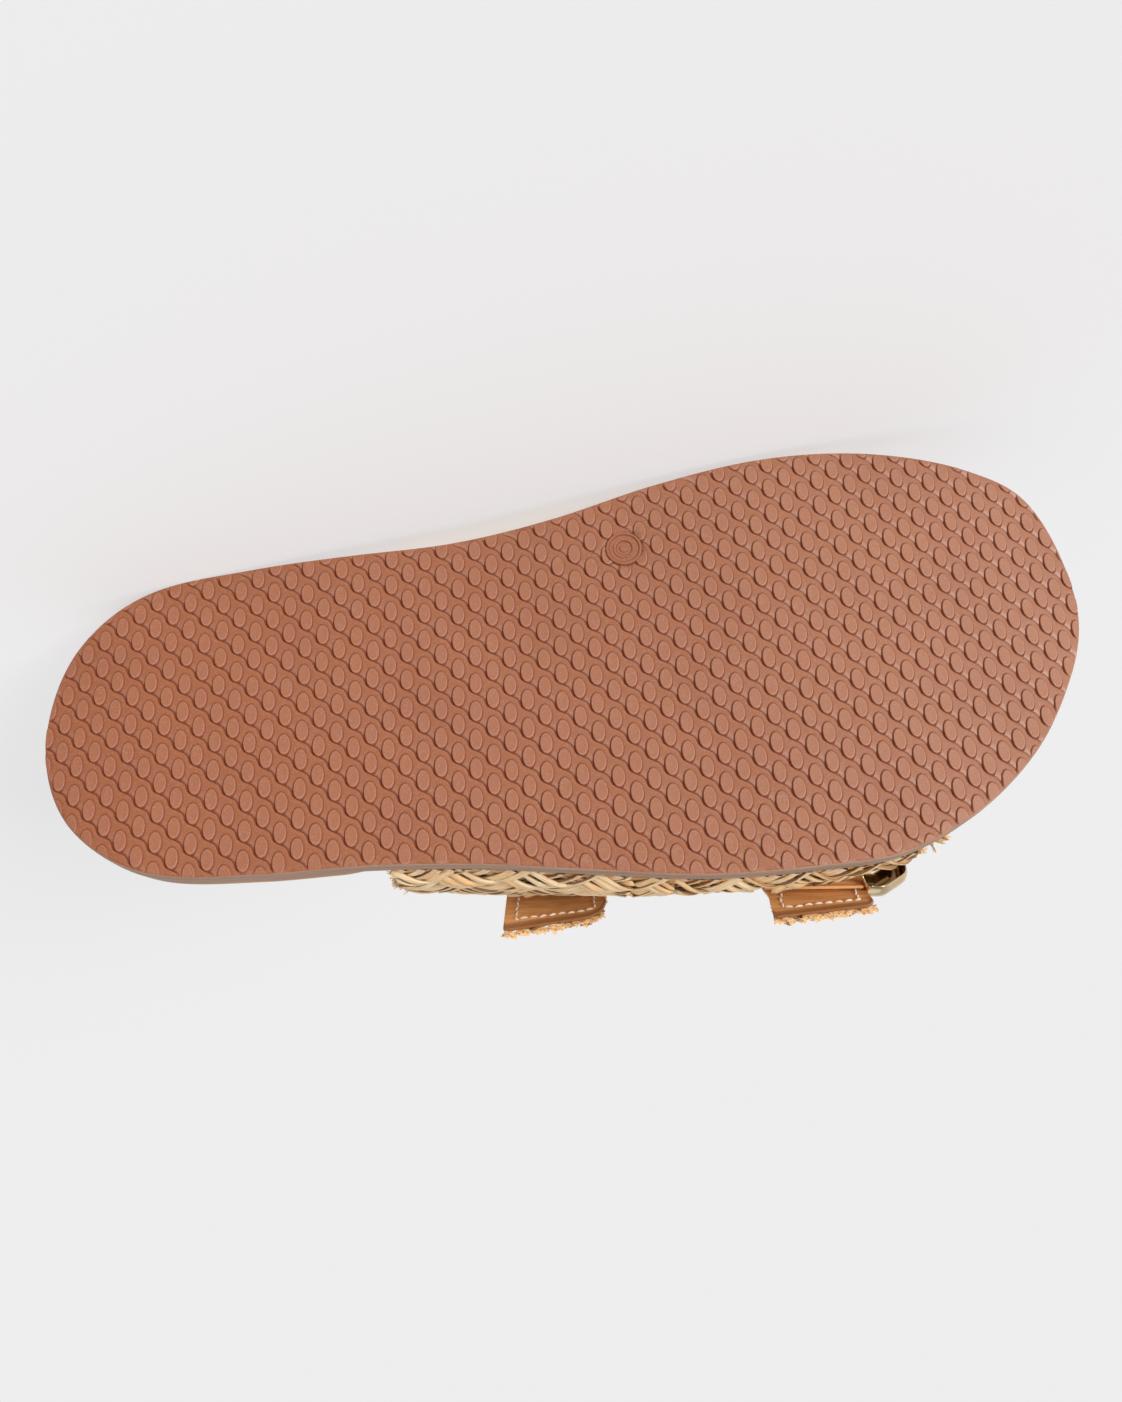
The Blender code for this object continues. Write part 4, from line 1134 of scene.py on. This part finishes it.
# Stitches
# White waxed thread, sewn through lining and raffia along each strap's edges and round its tail. Each stitch is
# a short rod that sinks into the leather at both ends and strays a little from its line.
STITCH_PITCH, STITCH_LONG, STITCH_R, STITCH_ARCH = 2.5, 2.0, 0.30, 0.14
STITCH_STRAY = 0.34
STITCH_FROM_SIDES = (3.2, 3.4)
STITCH_FROM_TIP = 3.5
STITCH_START = 14.0
STITCH_PARTS, STITCH_SIDES, STITCH_TAPER = 6, 6, 0.06
# The thread lies on the lining's open face
STITCH_LIFT = -0.05
SEAM_STEP, TIP_STEPS = 0.5, 40


def stitch_line(sheet):
    """Way of a strap's stitches, as rows and columns of its grid: up one edge, round the tip and down."""
    run = sheet_run(sheet)
    up = np.arange(STITCH_START, run[-1] - STITCH_FROM_TIP, SEAM_STEP)
    width = np.interp(up, run, sheet["x"][:, -1] - sheet["x"][:, 0])
    left, right = STITCH_FROM_SIDES[0] / width, 1 - STITCH_FROM_SIDES[1] / width
    along_tip = np.linspace(left[-1], right[-1], TIP_STEPS)
    share = np.concatenate([left, along_tip, right[::-1]])
    length = np.concatenate([up, np.full(TIP_STEPS, up[-1]), up[::-1]])
    return np.interp(length, run, np.arange(len(run))), share * (sheet["x"].shape[1] - 1)


def thread_stitches(sheet, lift):
    """Stitches along a strap's line: short round rods that taper and sink at both ends."""
    row, column = stitch_line(sheet)
    line = sample_sheet(sheet["inner"], row, column) + lift * unit(sample_sheet(sheet["normal"], row, column))
    run = length_along(line)
    starts = np.arange(0.0, run[-1] - STITCH_LONG, STITCH_PITCH)
    rng = np.random.default_rng(len(starts))
    stray = rng.uniform(-STITCH_STRAY, STITCH_STRAY, (2, len(starts), 1, 1))
    part = np.linspace(0, 1, STITCH_PARTS)
    at = starts[:, None] + part[None] * STITCH_LONG
    middle = np.stack([np.interp(at, run, line[:, k]) for k in range(3)], axis=-1)
    row, column = np.interp(at, run, row), np.interp(at, run, column)
    out = unit(sample_sheet(sheet["normal"], row, column)) * np.sign(lift)
    ahead = unit(np.gradient(middle, axis=1))
    side = np.cross(out, ahead)
    swell = np.sin(np.pi * (STITCH_TAPER + (1 - 2 * STITCH_TAPER) * part))
    middle = middle + out * (STITCH_ARCH * (2 * swell - 1))[None, :, None]
    middle = middle + side * (stray[0] + (stray[1] - stray[0]) * part[:, None])
    turn = round_angles(STITCH_SIDES)
    thick = STITCH_R * swell**0.5
    ring = (side[:, :, None] * (thick[:, None] * np.cos(turn))[None, :, :, None]
            + out[:, :, None] * (thick[:, None] * np.sin(turn))[None, :, :, None])
    points = middle[:, :, None] + ring
    each = STITCH_PARTS * STITCH_SIDES
    sides = copies_of(grid_faces(STITCH_PARTS, STITCH_SIDES, close_columns=True), len(starts), each)
    ends = np.stack([np.arange(STITCH_SIDES)[::-1], each - STITCH_SIDES + np.arange(STITCH_SIDES)])
    return points.reshape(-1, 3), [sides, copies_of(ends, len(starts), each)]


def thread_material():
    """Off-white waxed thread with the twist of its plies as a fine bump."""
    material, tree, shader = new_material("white_thread", 0.6)
    cloud, grain = add_grain(tree, 400.0, 4000.0)
    colour = mixed(tree, cloud, srgb(206, 192, 172), srgb(240, 232, 220))
    tree.links.new(colour, shader.inputs["Base Color"])
    add_bump(tree, shader, grain, 0.4, 0.0002)
    return material


thread = thread_material()
for name, sheet in zip(STRAPS, lined):
    points, faces = thread_stitches(sheet, STITCH_LIFT)
    add_piece(f"stitches_{name}", points, faces, thread, sharp=60.0)

# Lateral panel
# The side panel of the same weave over leather, fixed between the sole's layers. Its two tabs are bare leather
# that folds round the buckles' heel bars.
PANEL_ROWS, LOOP_ROWS = 30, 40
# The notch between the tabs starts at this share of the panel's rows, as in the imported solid
PANEL_NOTCH_ROWS = 4 * PANEL_ROWS // 5 + 1
TAB_START_U = -11.5
LOOP_ANGLES = np.arange(-90, 91, 30)
# The weave ends a little way up the tab; its loop is bare leather
PANEL_LINING, PANEL_BASE, PANEL_RISE, WOVEN_TAB_ROWS = 0.7, 1.65, 0.78, 5
# The tab's end comes back down on itself: u up the strap, drop under the top of the loop
TAB_FOLD = np.array([(-8.2, 0.15), (-9.0, 0.4), (-9.7, 0.7)], dtype=[("u", float), ("drop", float)])


def panel_sheet(strap, place):
    """Middle surface of half the panel, from the sole edge up to its tab's loop, and x over the flat panel."""
    shares = np.linspace(0, 1, STRAP_COLUMNS + 1)
    t_end = place["t"] + (LOCAL_REACH + LOCAL_EASE) / place["speed"]
    t = arc_rows(place["x"], 1.0, t_end, PANEL_ROWS)[:, None]
    tab = (strap["buckle"][0] + TAB_MARGIN, strap["buckle"][1] - TAB_MARGIN)
    rise = ease(1 - t, PANEL_NARROW_FROM * (1 - t_end), 1 - t_end)
    low = strap["sole"][0] + (tab[0] - strap["sole"][0]) * rise
    high = strap["sole"][1] + (tab[1] - strap["sole"][1]) * rise
    x = low + (high - low) * shares
    on_last = last_point(x, t)
    straight = last_point(np.full_like(x, place["x"]), t) + (x - place["x"])[..., None] * place["e"]
    base = on_last + (straight - on_last) * rise[..., None]
    tuck = strap["tuck"] * shares * ease(1 - t, 0.0, TUCK_FULL_AT * (1 - t_end))
    base = base - tuck[..., None] * place["n"]
    half = TAB_WALL / 2
    angle = np.radians(LOOP_ANGLES)
    round_bar = np.stack([HEEL_BAR_U + LOOP_R * np.cos(angle), HEEL_BAR_N + LOOP_R * np.sin(angle)], axis=-1)
    fold = np.stack([TAB_FOLD["u"], HEEL_BAR_N + LOOP_R - TAB_FOLD["drop"]], axis=-1)
    way = np.concatenate([[(-LOCAL_REACH, half), (TAB_START_U, half)], round_bar, fold])
    way = smooth_way(way, LOOP_ROWS)
    run = length_along(way)[:, None]
    tuck = strap["tuck"] * shares * (1 - ease(run, 0.0, TUCK_EASE))
    e = (shares - 0.5) * (tab[1] - tab[0])
    loop = in_buckle_plane(place, e[None, :], way[:, :1], way[:, 1:] - tuck)
    flat_x = np.concatenate([x, np.broadcast_to(place["x"] + e, (LOOP_ROWS, len(e)))])
    return np.concatenate([base, loop]), flat_x


panel = sheets_from(panel_sheet, PANEL_ROWS, TAB_WALL, PANEL_NOTCH_ROWS, LATERAL_OUT)
points, faces = lining_walls(panel, PANEL_LINING)
add_piece("panel_lining", points, [faces], lining_leather, sharp=50.0)
covered = [{name: field[:PANEL_ROWS + WOVEN_TAB_ROWS] for name, field in sheet.items()} for sheet in panel]
panel_weave = weave_piece("panel_weave", covered, PANEL_BASE, PANEL_RISE, 31)
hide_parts("lateral_panel")

# Frayed ends
# Cut ends of the raffia that stand out loose: along the straps' tips and sides, at both ends of the lateral
# panel, and a tuft of longer ends that slips out between the sole's layers in front of the panel.
FRAY_SECTIONS = 5
FRAY_ROUND = np.array([(1.0, 0.0), (-0.5, 0.6), (-0.5, -0.6)])
FRAY_SINK, FRAY_STEP = 0.6, 1.5
# rows is the stretch of the sheet's rows that it grows from, as shares, and lift is over the sheet's inner face
TIP_FRAY = {"ends": 120, "lift": 1.2, "long": (0.8, 1.7), "wide": (0.9, 1.8)}
TAIL_FRAY = {"ends": 8, "lift": 1.2, "rows": (0.9, 1.0), "long": (0.4, 0.8), "wide": (0.4, 0.8)}
STRAP_FRAY = {"ends": 90, "lift": 1.4, "rows": (0.02, 0.7), "long": (0.4, 0.9), "wide": (0.3, 0.7)}
REAR_PANEL_FRAY = {"ends": 60, "lift": 1.0, "rows": (0.0, 0.5), "long": (1.0, 3.0), "wide": (0.6, 1.4)}
FRONT_PANEL_FRAY = {"ends": 36, "lift": 1.0, "rows": (0.0, 0.5), "long": (0.7, 2.0), "wide": (0.5, 1.2)}
FRONT_TUFT = {"ends": 16, "x": (208.0, 211.5), "long": (1.4, 3.2), "wide": (0.8, 1.6)}


def fray_blades(roots, away, normal, long, wide, rng):
    """Loose ends: each is a thin three-sided blade that tapers, and bends by a square law to a side and out."""
    count = len(roots)
    part = np.linspace(0, 1, FRAY_SECTIONS)
    side = unit(np.cross(normal, away))
    swerve, curl = rng.uniform(-0.5, 0.5, (count, 1, 1)), rng.uniform(-0.35, 0.5, (count, 1, 1))
    aim = away + side * rng.uniform(-0.55, 0.55, (count, 1))
    aim = unit(aim + normal * rng.uniform(-0.25, 0.25, (count, 1)))
    bend = side[:, None] * swerve + normal[:, None] * curl
    way = roots[:, None] + long[:, None, None] * (aim[:, None] * part[:, None] + bend * part[:, None] ** 2)
    thick = wide[:, None] * (1 - 0.5 * part**3) / 2
    across = side[:, None, None] * FRAY_ROUND[:, 1, None] * 1.7
    over = normal[:, None, None] * FRAY_ROUND[:, 0, None] * 0.5
    points = way[:, :, None] + thick[:, :, None, None] * (across + over)
    each = FRAY_SECTIONS * 3
    faces = copies_of(grid_faces(FRAY_SECTIONS, 3, close_columns=True), count, each)
    ends = copies_of(np.array([[2, 1, 0], [each - 3, each - 2, each - 1]]), count, each)
    tone = np.repeat(rng.uniform(0.2, 1.0, count), each)
    uv = np.stack(np.broadcast_arrays(rng.uniform(0, 40, (count, 1, 1)) + np.arange(3) / 3,
                                      long[:, None, None] * part[None, :, None]), axis=-1).reshape(-1, 2)
    return points.reshape(-1, 3), [faces, ends], tone, uv


def edge_fray(sheet, fray, spots, seed):
    """Blades rooted at spots on a sheet: their rows, columns and the step (down, across) off its edge."""
    rng = np.random.default_rng(seed)
    row, column, step = spots
    root = sample_sheet(sheet["inner"], row, column)
    normal = unit(sample_sheet(sheet["normal"], row, column))
    behind = sample_sheet(sheet["inner"], row - step[0], column - step[1])
    count = fray["ends"]
    away = unit(root - behind)
    root = root + normal * (fray["lift"] + rng.uniform(-0.45, 0.45, (count, 1))) - away * FRAY_SINK
    long, wide = rng.uniform(*fray["long"], count), rng.uniform(*fray["wide"], count)
    return fray_blades(root, away, normal, long, wide, rng)


def tip_spots(sheet, fray, rng):
    """Spots along the tip of a strap."""
    rows, columns = sheet["x"].shape
    column = rng.uniform(0.02, 0.98, fray["ends"]) * (columns - 1)
    return np.full(fray["ends"], rows - 1.001), column, (FRAY_STEP, 0.0)


def side_spots(sheet, fray, share, rng):
    """Spots along the side of a sheet that lies at a share of its columns, over a stretch of its rows."""
    rows, columns = sheet["x"].shape
    row = rng.uniform(*fray["rows"], fray["ends"]) * (rows - 1)
    return row, np.full(fray["ends"], share * (columns - 1)), (0.0, FRAY_STEP if share > 0.5 else -FRAY_STEP)


def front_tuft(seed):
    """The tuft in front of the panel: ends rooted along the outsole's lateral edge, pointing to the toe."""
    rng = np.random.default_rng(seed)
    count = FRONT_TUFT["ends"]
    x = rng.uniform(*FRONT_TUFT["x"], count)
    _, lateral = sole_reach(x)
    root = np.stack([x, lateral - 1.2 + rng.uniform(-0.3, 0.3, count),
                     deck(x, 1.0) + GAP + rng.uniform(0.2, 1.6, count)], axis=-1)
    away = unit(np.array([0.75, 0.55, 0.25]) + rng.uniform(-0.25, 0.25, (count, 3)))
    normal = unit(np.cross(np.array([0.0, 0.0, 1.0]), away))
    long, wide = rng.uniform(*FRONT_TUFT["long"], count), rng.uniform(*FRONT_TUFT["wide"], count)
    return fray_blades(root, away, normal, long, wide, rng)


spots = np.random.default_rng(71)
frayed = []
for k, sheet in enumerate(upper[:2]):
    frayed.append(edge_fray(sheet, TIP_FRAY, tip_spots(sheet, TIP_FRAY, spots), 72 + k))
    for share in (0.0, 1.0):
        for fray, seed in ((TAIL_FRAY, 76), (STRAP_FRAY, 84)):
            where = side_spots(sheet, fray, share, spots)
            frayed.append(edge_fray(sheet, fray, where, seed + 2 * k + int(share)))
panel_ends = ((covered[0], REAR_PANEL_FRAY, 0.0, 91), (covered[1], FRONT_PANEL_FRAY, 1.0, 92))
for sheet, fray, share, seed in panel_ends:
    frayed.append(edge_fray(sheet, fray, side_spots(sheet, fray, share, spots), seed))
frayed.append(front_tuft(93))
starts = np.cumsum([0] + [len(part[0]) for part in frayed[:-1]])
quads = np.concatenate([part[1][0] + start for part, start in zip(frayed, starts)])
tris = np.concatenate([part[1][1] + start for part, start in zip(frayed, starts)])
points, tone, uv = (np.concatenate([part[k] for part in frayed]) for k in (0, 2, 3))
add_piece("frayed_ends", points, [quads, tris], raffia, marks={"tone": tone}, uv=uv, sharp=60.0)

# Buckles
# Cast frames in a pale gold finish, hollow at the back, with a thin heel bar that the panel's tab folds round.
# Each prong is a rod curled about that bar; it goes up through the strap and lies over the free bar.
HEEL_BAR_HALF, FRAME_HALF_E, FRAME_CORNER, FRAME_PROUD = 12.9, 22.2, 4.8, 3.2
FRAME_STEP = 0.6
BAR_EASE = 1.6
# wide is out from the frame's ring, thick is out from the foot: a rounded crown over a hollow back
FRAME_PROFILE = np.array(
    [(2.9, -1.9), (3.15, -1.4), (3.2, -0.5), (2.95, 0.6), (2.3, 1.6), (1.2, 2.25), (0.0, 2.4), (-1.2, 2.25),
     (-2.3, 1.6), (-2.95, 0.6), (-3.2, -0.5), (-3.15, -1.4), (-2.9, -1.9), (-2.6, -1.8), (-2.45, -1.2),
     (-2.1, 0.3), (-1.2, 1.3), (0.0, 1.6), (1.2, 1.3), (2.1, 0.3), (2.45, -1.2), (2.6, -1.8)],
    dtype=[("wide", float), ("thick", float)],
)
HOLLOW_FROM = 13
# The rod's round starts at the same side as the profile does
ROD_START = -0.45
PRONG_R, PRONG_SIDES, PRONG_PARTS = 0.8, 14, 60
PRONG_CURL = np.arange(-200, 91, 29)
PRONG_END = 40.0
PRONG_DIP, PRONG_OVERHANG, PRONG_TIP_DIP = 0.6, 2.6, 0.1


def frame_ring():
    """Even points round the frame's ring, a rectangle with its corners cut off."""
    half_u = BAR_APART / 2
    way = []
    for quarter, (side_e, side_u) in enumerate([(1, -1), (1, 1), (-1, 1), (-1, -1)]):
        centre = np.array([side_e * (FRAME_HALF_E - FRAME_CORNER), side_u * (half_u - FRAME_CORNER)])
        angle = np.radians(np.array([-90, 0]) + 90 * quarter)
        way.append(centre + FRAME_CORNER * np.stack([np.cos(angle), np.sin(angle)], axis=-1))
    way = np.concatenate(way + [way[0][:1]])
    run = length_along(way)
    at = np.linspace(0.0, run[-1], round(run[-1] / FRAME_STEP), endpoint=False)
    ring = np.stack([np.interp(at, run, way[:, k]) for k in range(2)], axis=-1)
    return (np.roll(ring, 1, axis=0) + 2 * ring + np.roll(ring, -1, axis=0)) / 4


def frame_shell(strap, place):
    """Buckle frame: its hollow profile carried round the ring, eased to a thin round rod along the heel bar."""
    ring = frame_ring()
    ahead = unit(np.roll(ring, -1, axis=0) - np.roll(ring, 1, axis=0))
    out = np.stack([ahead[:, 1], -ahead[:, 0]], axis=-1)
    half_u = BAR_APART / 2
    rod = (ring[:, 1] < 0.05 - half_u) * ease(-np.abs(ring[:, 0]), -HEEL_BAR_HALF - BAR_EASE, -HEEL_BAR_HALF)
    proud = HEEL_BAR_N + FRAME_PROUD
    level = proud + (FREE_BAR_N - proud) * (ring[:, 1] + half_u) / BAR_APART
    level = level + (HEEL_BAR_N - level) * rod
    turn = np.linspace(0, 2 * np.pi, len(FRAME_PROFILE), endpoint=False) + ROD_START
    wide = FRAME_PROFILE["wide"] + (HEEL_BAR_R * np.cos(turn) - FRAME_PROFILE["wide"]) * rod[:, None]
    thick = FRAME_PROFILE["thick"] + (HEEL_BAR_R * np.sin(turn) - FRAME_PROFILE["thick"]) * rod[:, None]
    flat = ring[:, None] + out[:, None] * wide[..., None]
    turn = math.radians(strap["frame_turn"])
    e = flat[..., 0] * math.cos(turn) - flat[..., 1] * math.sin(turn)
    u = flat[..., 0] * math.sin(turn) + flat[..., 1] * math.cos(turn) + strap["frame_up"]
    points = in_buckle_plane(place, e, u, level[:, None] + thick)
    # painted dark reflection on the faces of the hollow back
    hollow = np.where(np.arange(len(FRAME_PROFILE)) > HOLLOW_FROM, 1 - rod[:, None], 0.0)
    return points, grid_faces(*points.shape[:2], close_rows=True, close_columns=True), hollow


def prong_rod(place):
    """Prong: a round rod, curled about the heel bar, dipped in the middle, and rounded at its ends."""
    curl = HEEL_BAR_R + GAP + PRONG_R
    angle = np.radians(PRONG_CURL)
    way = np.stack([HEEL_BAR_U + curl * np.cos(angle), HEEL_BAR_N + curl * np.sin(angle)], axis=-1)
    rest = FREE_BAR_N + FRAME_HALF_THICK + GAP + PRONG_R
    free = BAR_APART / 2
    over = [(0.0, rest - PRONG_DIP), (free, rest), (free + PRONG_OVERHANG, rest - PRONG_TIP_DIP)]
    way = smooth_way(np.concatenate([way, over]), PRONG_PARTS)
    ahead = unit(np.gradient(way, axis=0))
    out = np.stack([-ahead[:, 1], ahead[:, 0]], axis=-1)
    part = np.linspace(0, 1, PRONG_PARTS)
    thick = PRONG_R * np.clip(np.minimum(part, 1 - part) * PRONG_END, 0.05, 1.0) ** 0.5
    turn = round_angles(PRONG_SIDES)
    flat = way[:, None] + out[:, None] * (thick[:, None] * np.cos(turn))[..., None]
    points = in_buckle_plane(place, thick[:, None] * np.sin(turn), flat[..., 0], flat[..., 1])
    ends = np.stack([np.arange(PRONG_SIDES)[::-1], (PRONG_PARTS - 1) * PRONG_SIDES + np.arange(PRONG_SIDES)])
    return points, [grid_faces(PRONG_PARTS, PRONG_SIDES, close_columns=True), ends]


def gold_material():
    """Pale gold plating: bright, lightly brushed, dulled in patches, with a painted dark reflection inside the
    hollow back.
    """
    material, tree, shader = new_material("pale_gold_plate", 0.24, metallic=1.0)
    cloud, grain = add_grain(tree, 120.0, 2600.0)
    colour = mixed(tree, cloud, srgb(206, 178, 134), srgb(236, 216, 180))
    # painted dark reflection inside the hollow back
    colour = mixed(tree, mark_on(tree, "hollow"), colour, srgb(122, 94, 56))
    tree.links.new(colour, shader.inputs["Base Color"])
    tree.links.new(spread(tree, cloud, 0.10, 0.24), shader.inputs["Roughness"])
    add_bump(tree, shader, grain, 0.06, 0.0002)
    return material


gold = gold_material()
for name, place in places.items():
    points, faces, hollow = frame_shell(STRAPS[name], place)
    shell = add_piece(f"frame_{name}", points, [faces], gold, marks={"hollow": hollow}, sharp=45.0)
    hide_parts(f"buckle_frame_{name}")
    points, faces = prong_rod(place)
    prong = add_piece(f"prong_{name}", points, faces, gold, sharp=50.0)
    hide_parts(f"buckle_prong_{name}")

# Stage and light
# A wide pale floor, lit from within like a light table, under a sky that is as pale all along its edge and
# darker overhead and behind the camera. Two soft suns: a low one from the camera's side, a weak one overhead.
SKY, ZENITH, BEHIND = 0.86, 0.50, 0.35
EDGE_EVEN_TO, SKY_EVEN_TO = 0.16, 0.30
BEHIND_FROM, BEHIND_FULL = -0.15, -0.75
PAPER_WHITE = (0.995, 0.990, 1.0, 1.0)
FLOOR_REACH, FLOOR_PALE = 60.0, 0.42
KEY_FROM, KEY_POWER, KEY_ANGLE = Vector((-0.62, -0.76, 0.20)), 3.1, 30.0
TOP_FROM, TOP_POWER, TOP_ANGLE = Vector((0.25, -0.2, 0.9)), 0.3, 60.0


def soft_sun(name, towards, power, angle):
    """Sun that shines from the given direction, with a wide disc for soft shadows."""
    lamp = bpy.data.lights.new(name, "SUN")
    lamp.energy = power
    lamp.angle = math.radians(angle)
    light = bpy.data.objects.new(name, lamp)
    light.rotation_euler = (-towards).to_track_quat("-Z", "Y").to_euler()
    bpy.context.collection.objects.link(light)
    way, about = np.meshgrid(np.sqrt(np.linspace(0, 1, 40)) * lamp.angle / 2, np.linspace(0, 2 * np.pi, 60))
    height = math.asin(towards.normalized().z) + way * np.sin(about)
    return power * np.mean(np.clip(np.sin(height), 0, 1)) / math.pi


sun_on_floor = soft_sun("key_sun", KEY_FROM, KEY_POWER, KEY_ANGLE)
sun_on_floor += soft_sun("top_sun", TOP_FROM, TOP_POWER, TOP_ANGLE)
world = bpy.data.worlds.new("studio")
world.use_nodes = True
tree = world.node_tree
way_up = put(tree, "ShaderNodeSeparateXYZ")
tree.links.new(put(tree, "ShaderNodeTexCoord").outputs["Generated"], way_up.inputs[0])
fall = spread(tree, way_up.outputs["Z"], SKY, ZENITH, SKY_EVEN_TO, 1.0)
behind = spread(tree, way_up.outputs["Y"], 0.0, 1 - BEHIND, BEHIND_FROM, BEHIND_FULL)
above = spread(tree, way_up.outputs["Z"], 0.0, 1.0, EDGE_EVEN_TO, SKY_EVEN_TO)
darker = reckon(tree, "MULTIPLY", behind, above)
fall = reckon(tree, "MULTIPLY", fall, reckon(tree, "SUBTRACT", 1.0, darker))
sky = tree.nodes["Background"]
sky.inputs["Color"].default_value = PAPER_WHITE
tree.links.new(fall, sky.inputs["Strength"])
height, about = np.meshgrid(np.linspace(0, 1, 200), np.linspace(0, 2 * np.pi, 200))
seen = np.interp(height, [SKY_EVEN_TO, 1], [SKY, ZENITH])
darker = np.interp(np.sqrt(1 - height**2) * np.sin(about), [BEHIND_FULL, BEHIND_FROM], [1 - BEHIND, 0.0])
seen = seen * (1 - darker * np.interp(height, [EDGE_EVEN_TO, SKY_EVEN_TO], [0.0, 1.0]))
sky_on_floor = np.mean(2 * height * seen)
bpy.context.scene.world = world
bpy.context.scene.view_settings.view_transform = "Standard"

floor_mesh = bpy.data.meshes.new("floor")
corners = [(x * FLOOR_REACH, y * FLOOR_REACH, 0.0) for x, y in ((-1, -1), (1, -1), (1, 1), (-1, 1))]
floor_mesh.from_pydata(corners, [], [(0, 1, 2, 3)])
floor_paper, tree, shader = new_material("floor_paper", 1.0, specular=0.0)
shader.inputs["Base Color"].default_value = (FLOOR_PALE, FLOOR_PALE, FLOOR_PALE, 1.0)
shader.inputs["Emission Color"].default_value = PAPER_WHITE
shader.inputs["Emission Strength"].default_value = SKY - FLOOR_PALE * (sky_on_floor + sun_on_floor)
floor_mesh.materials.append(floor_paper)
floor = bpy.data.objects.new("floor", floor_mesh)
bpy.context.collection.objects.link(floor)
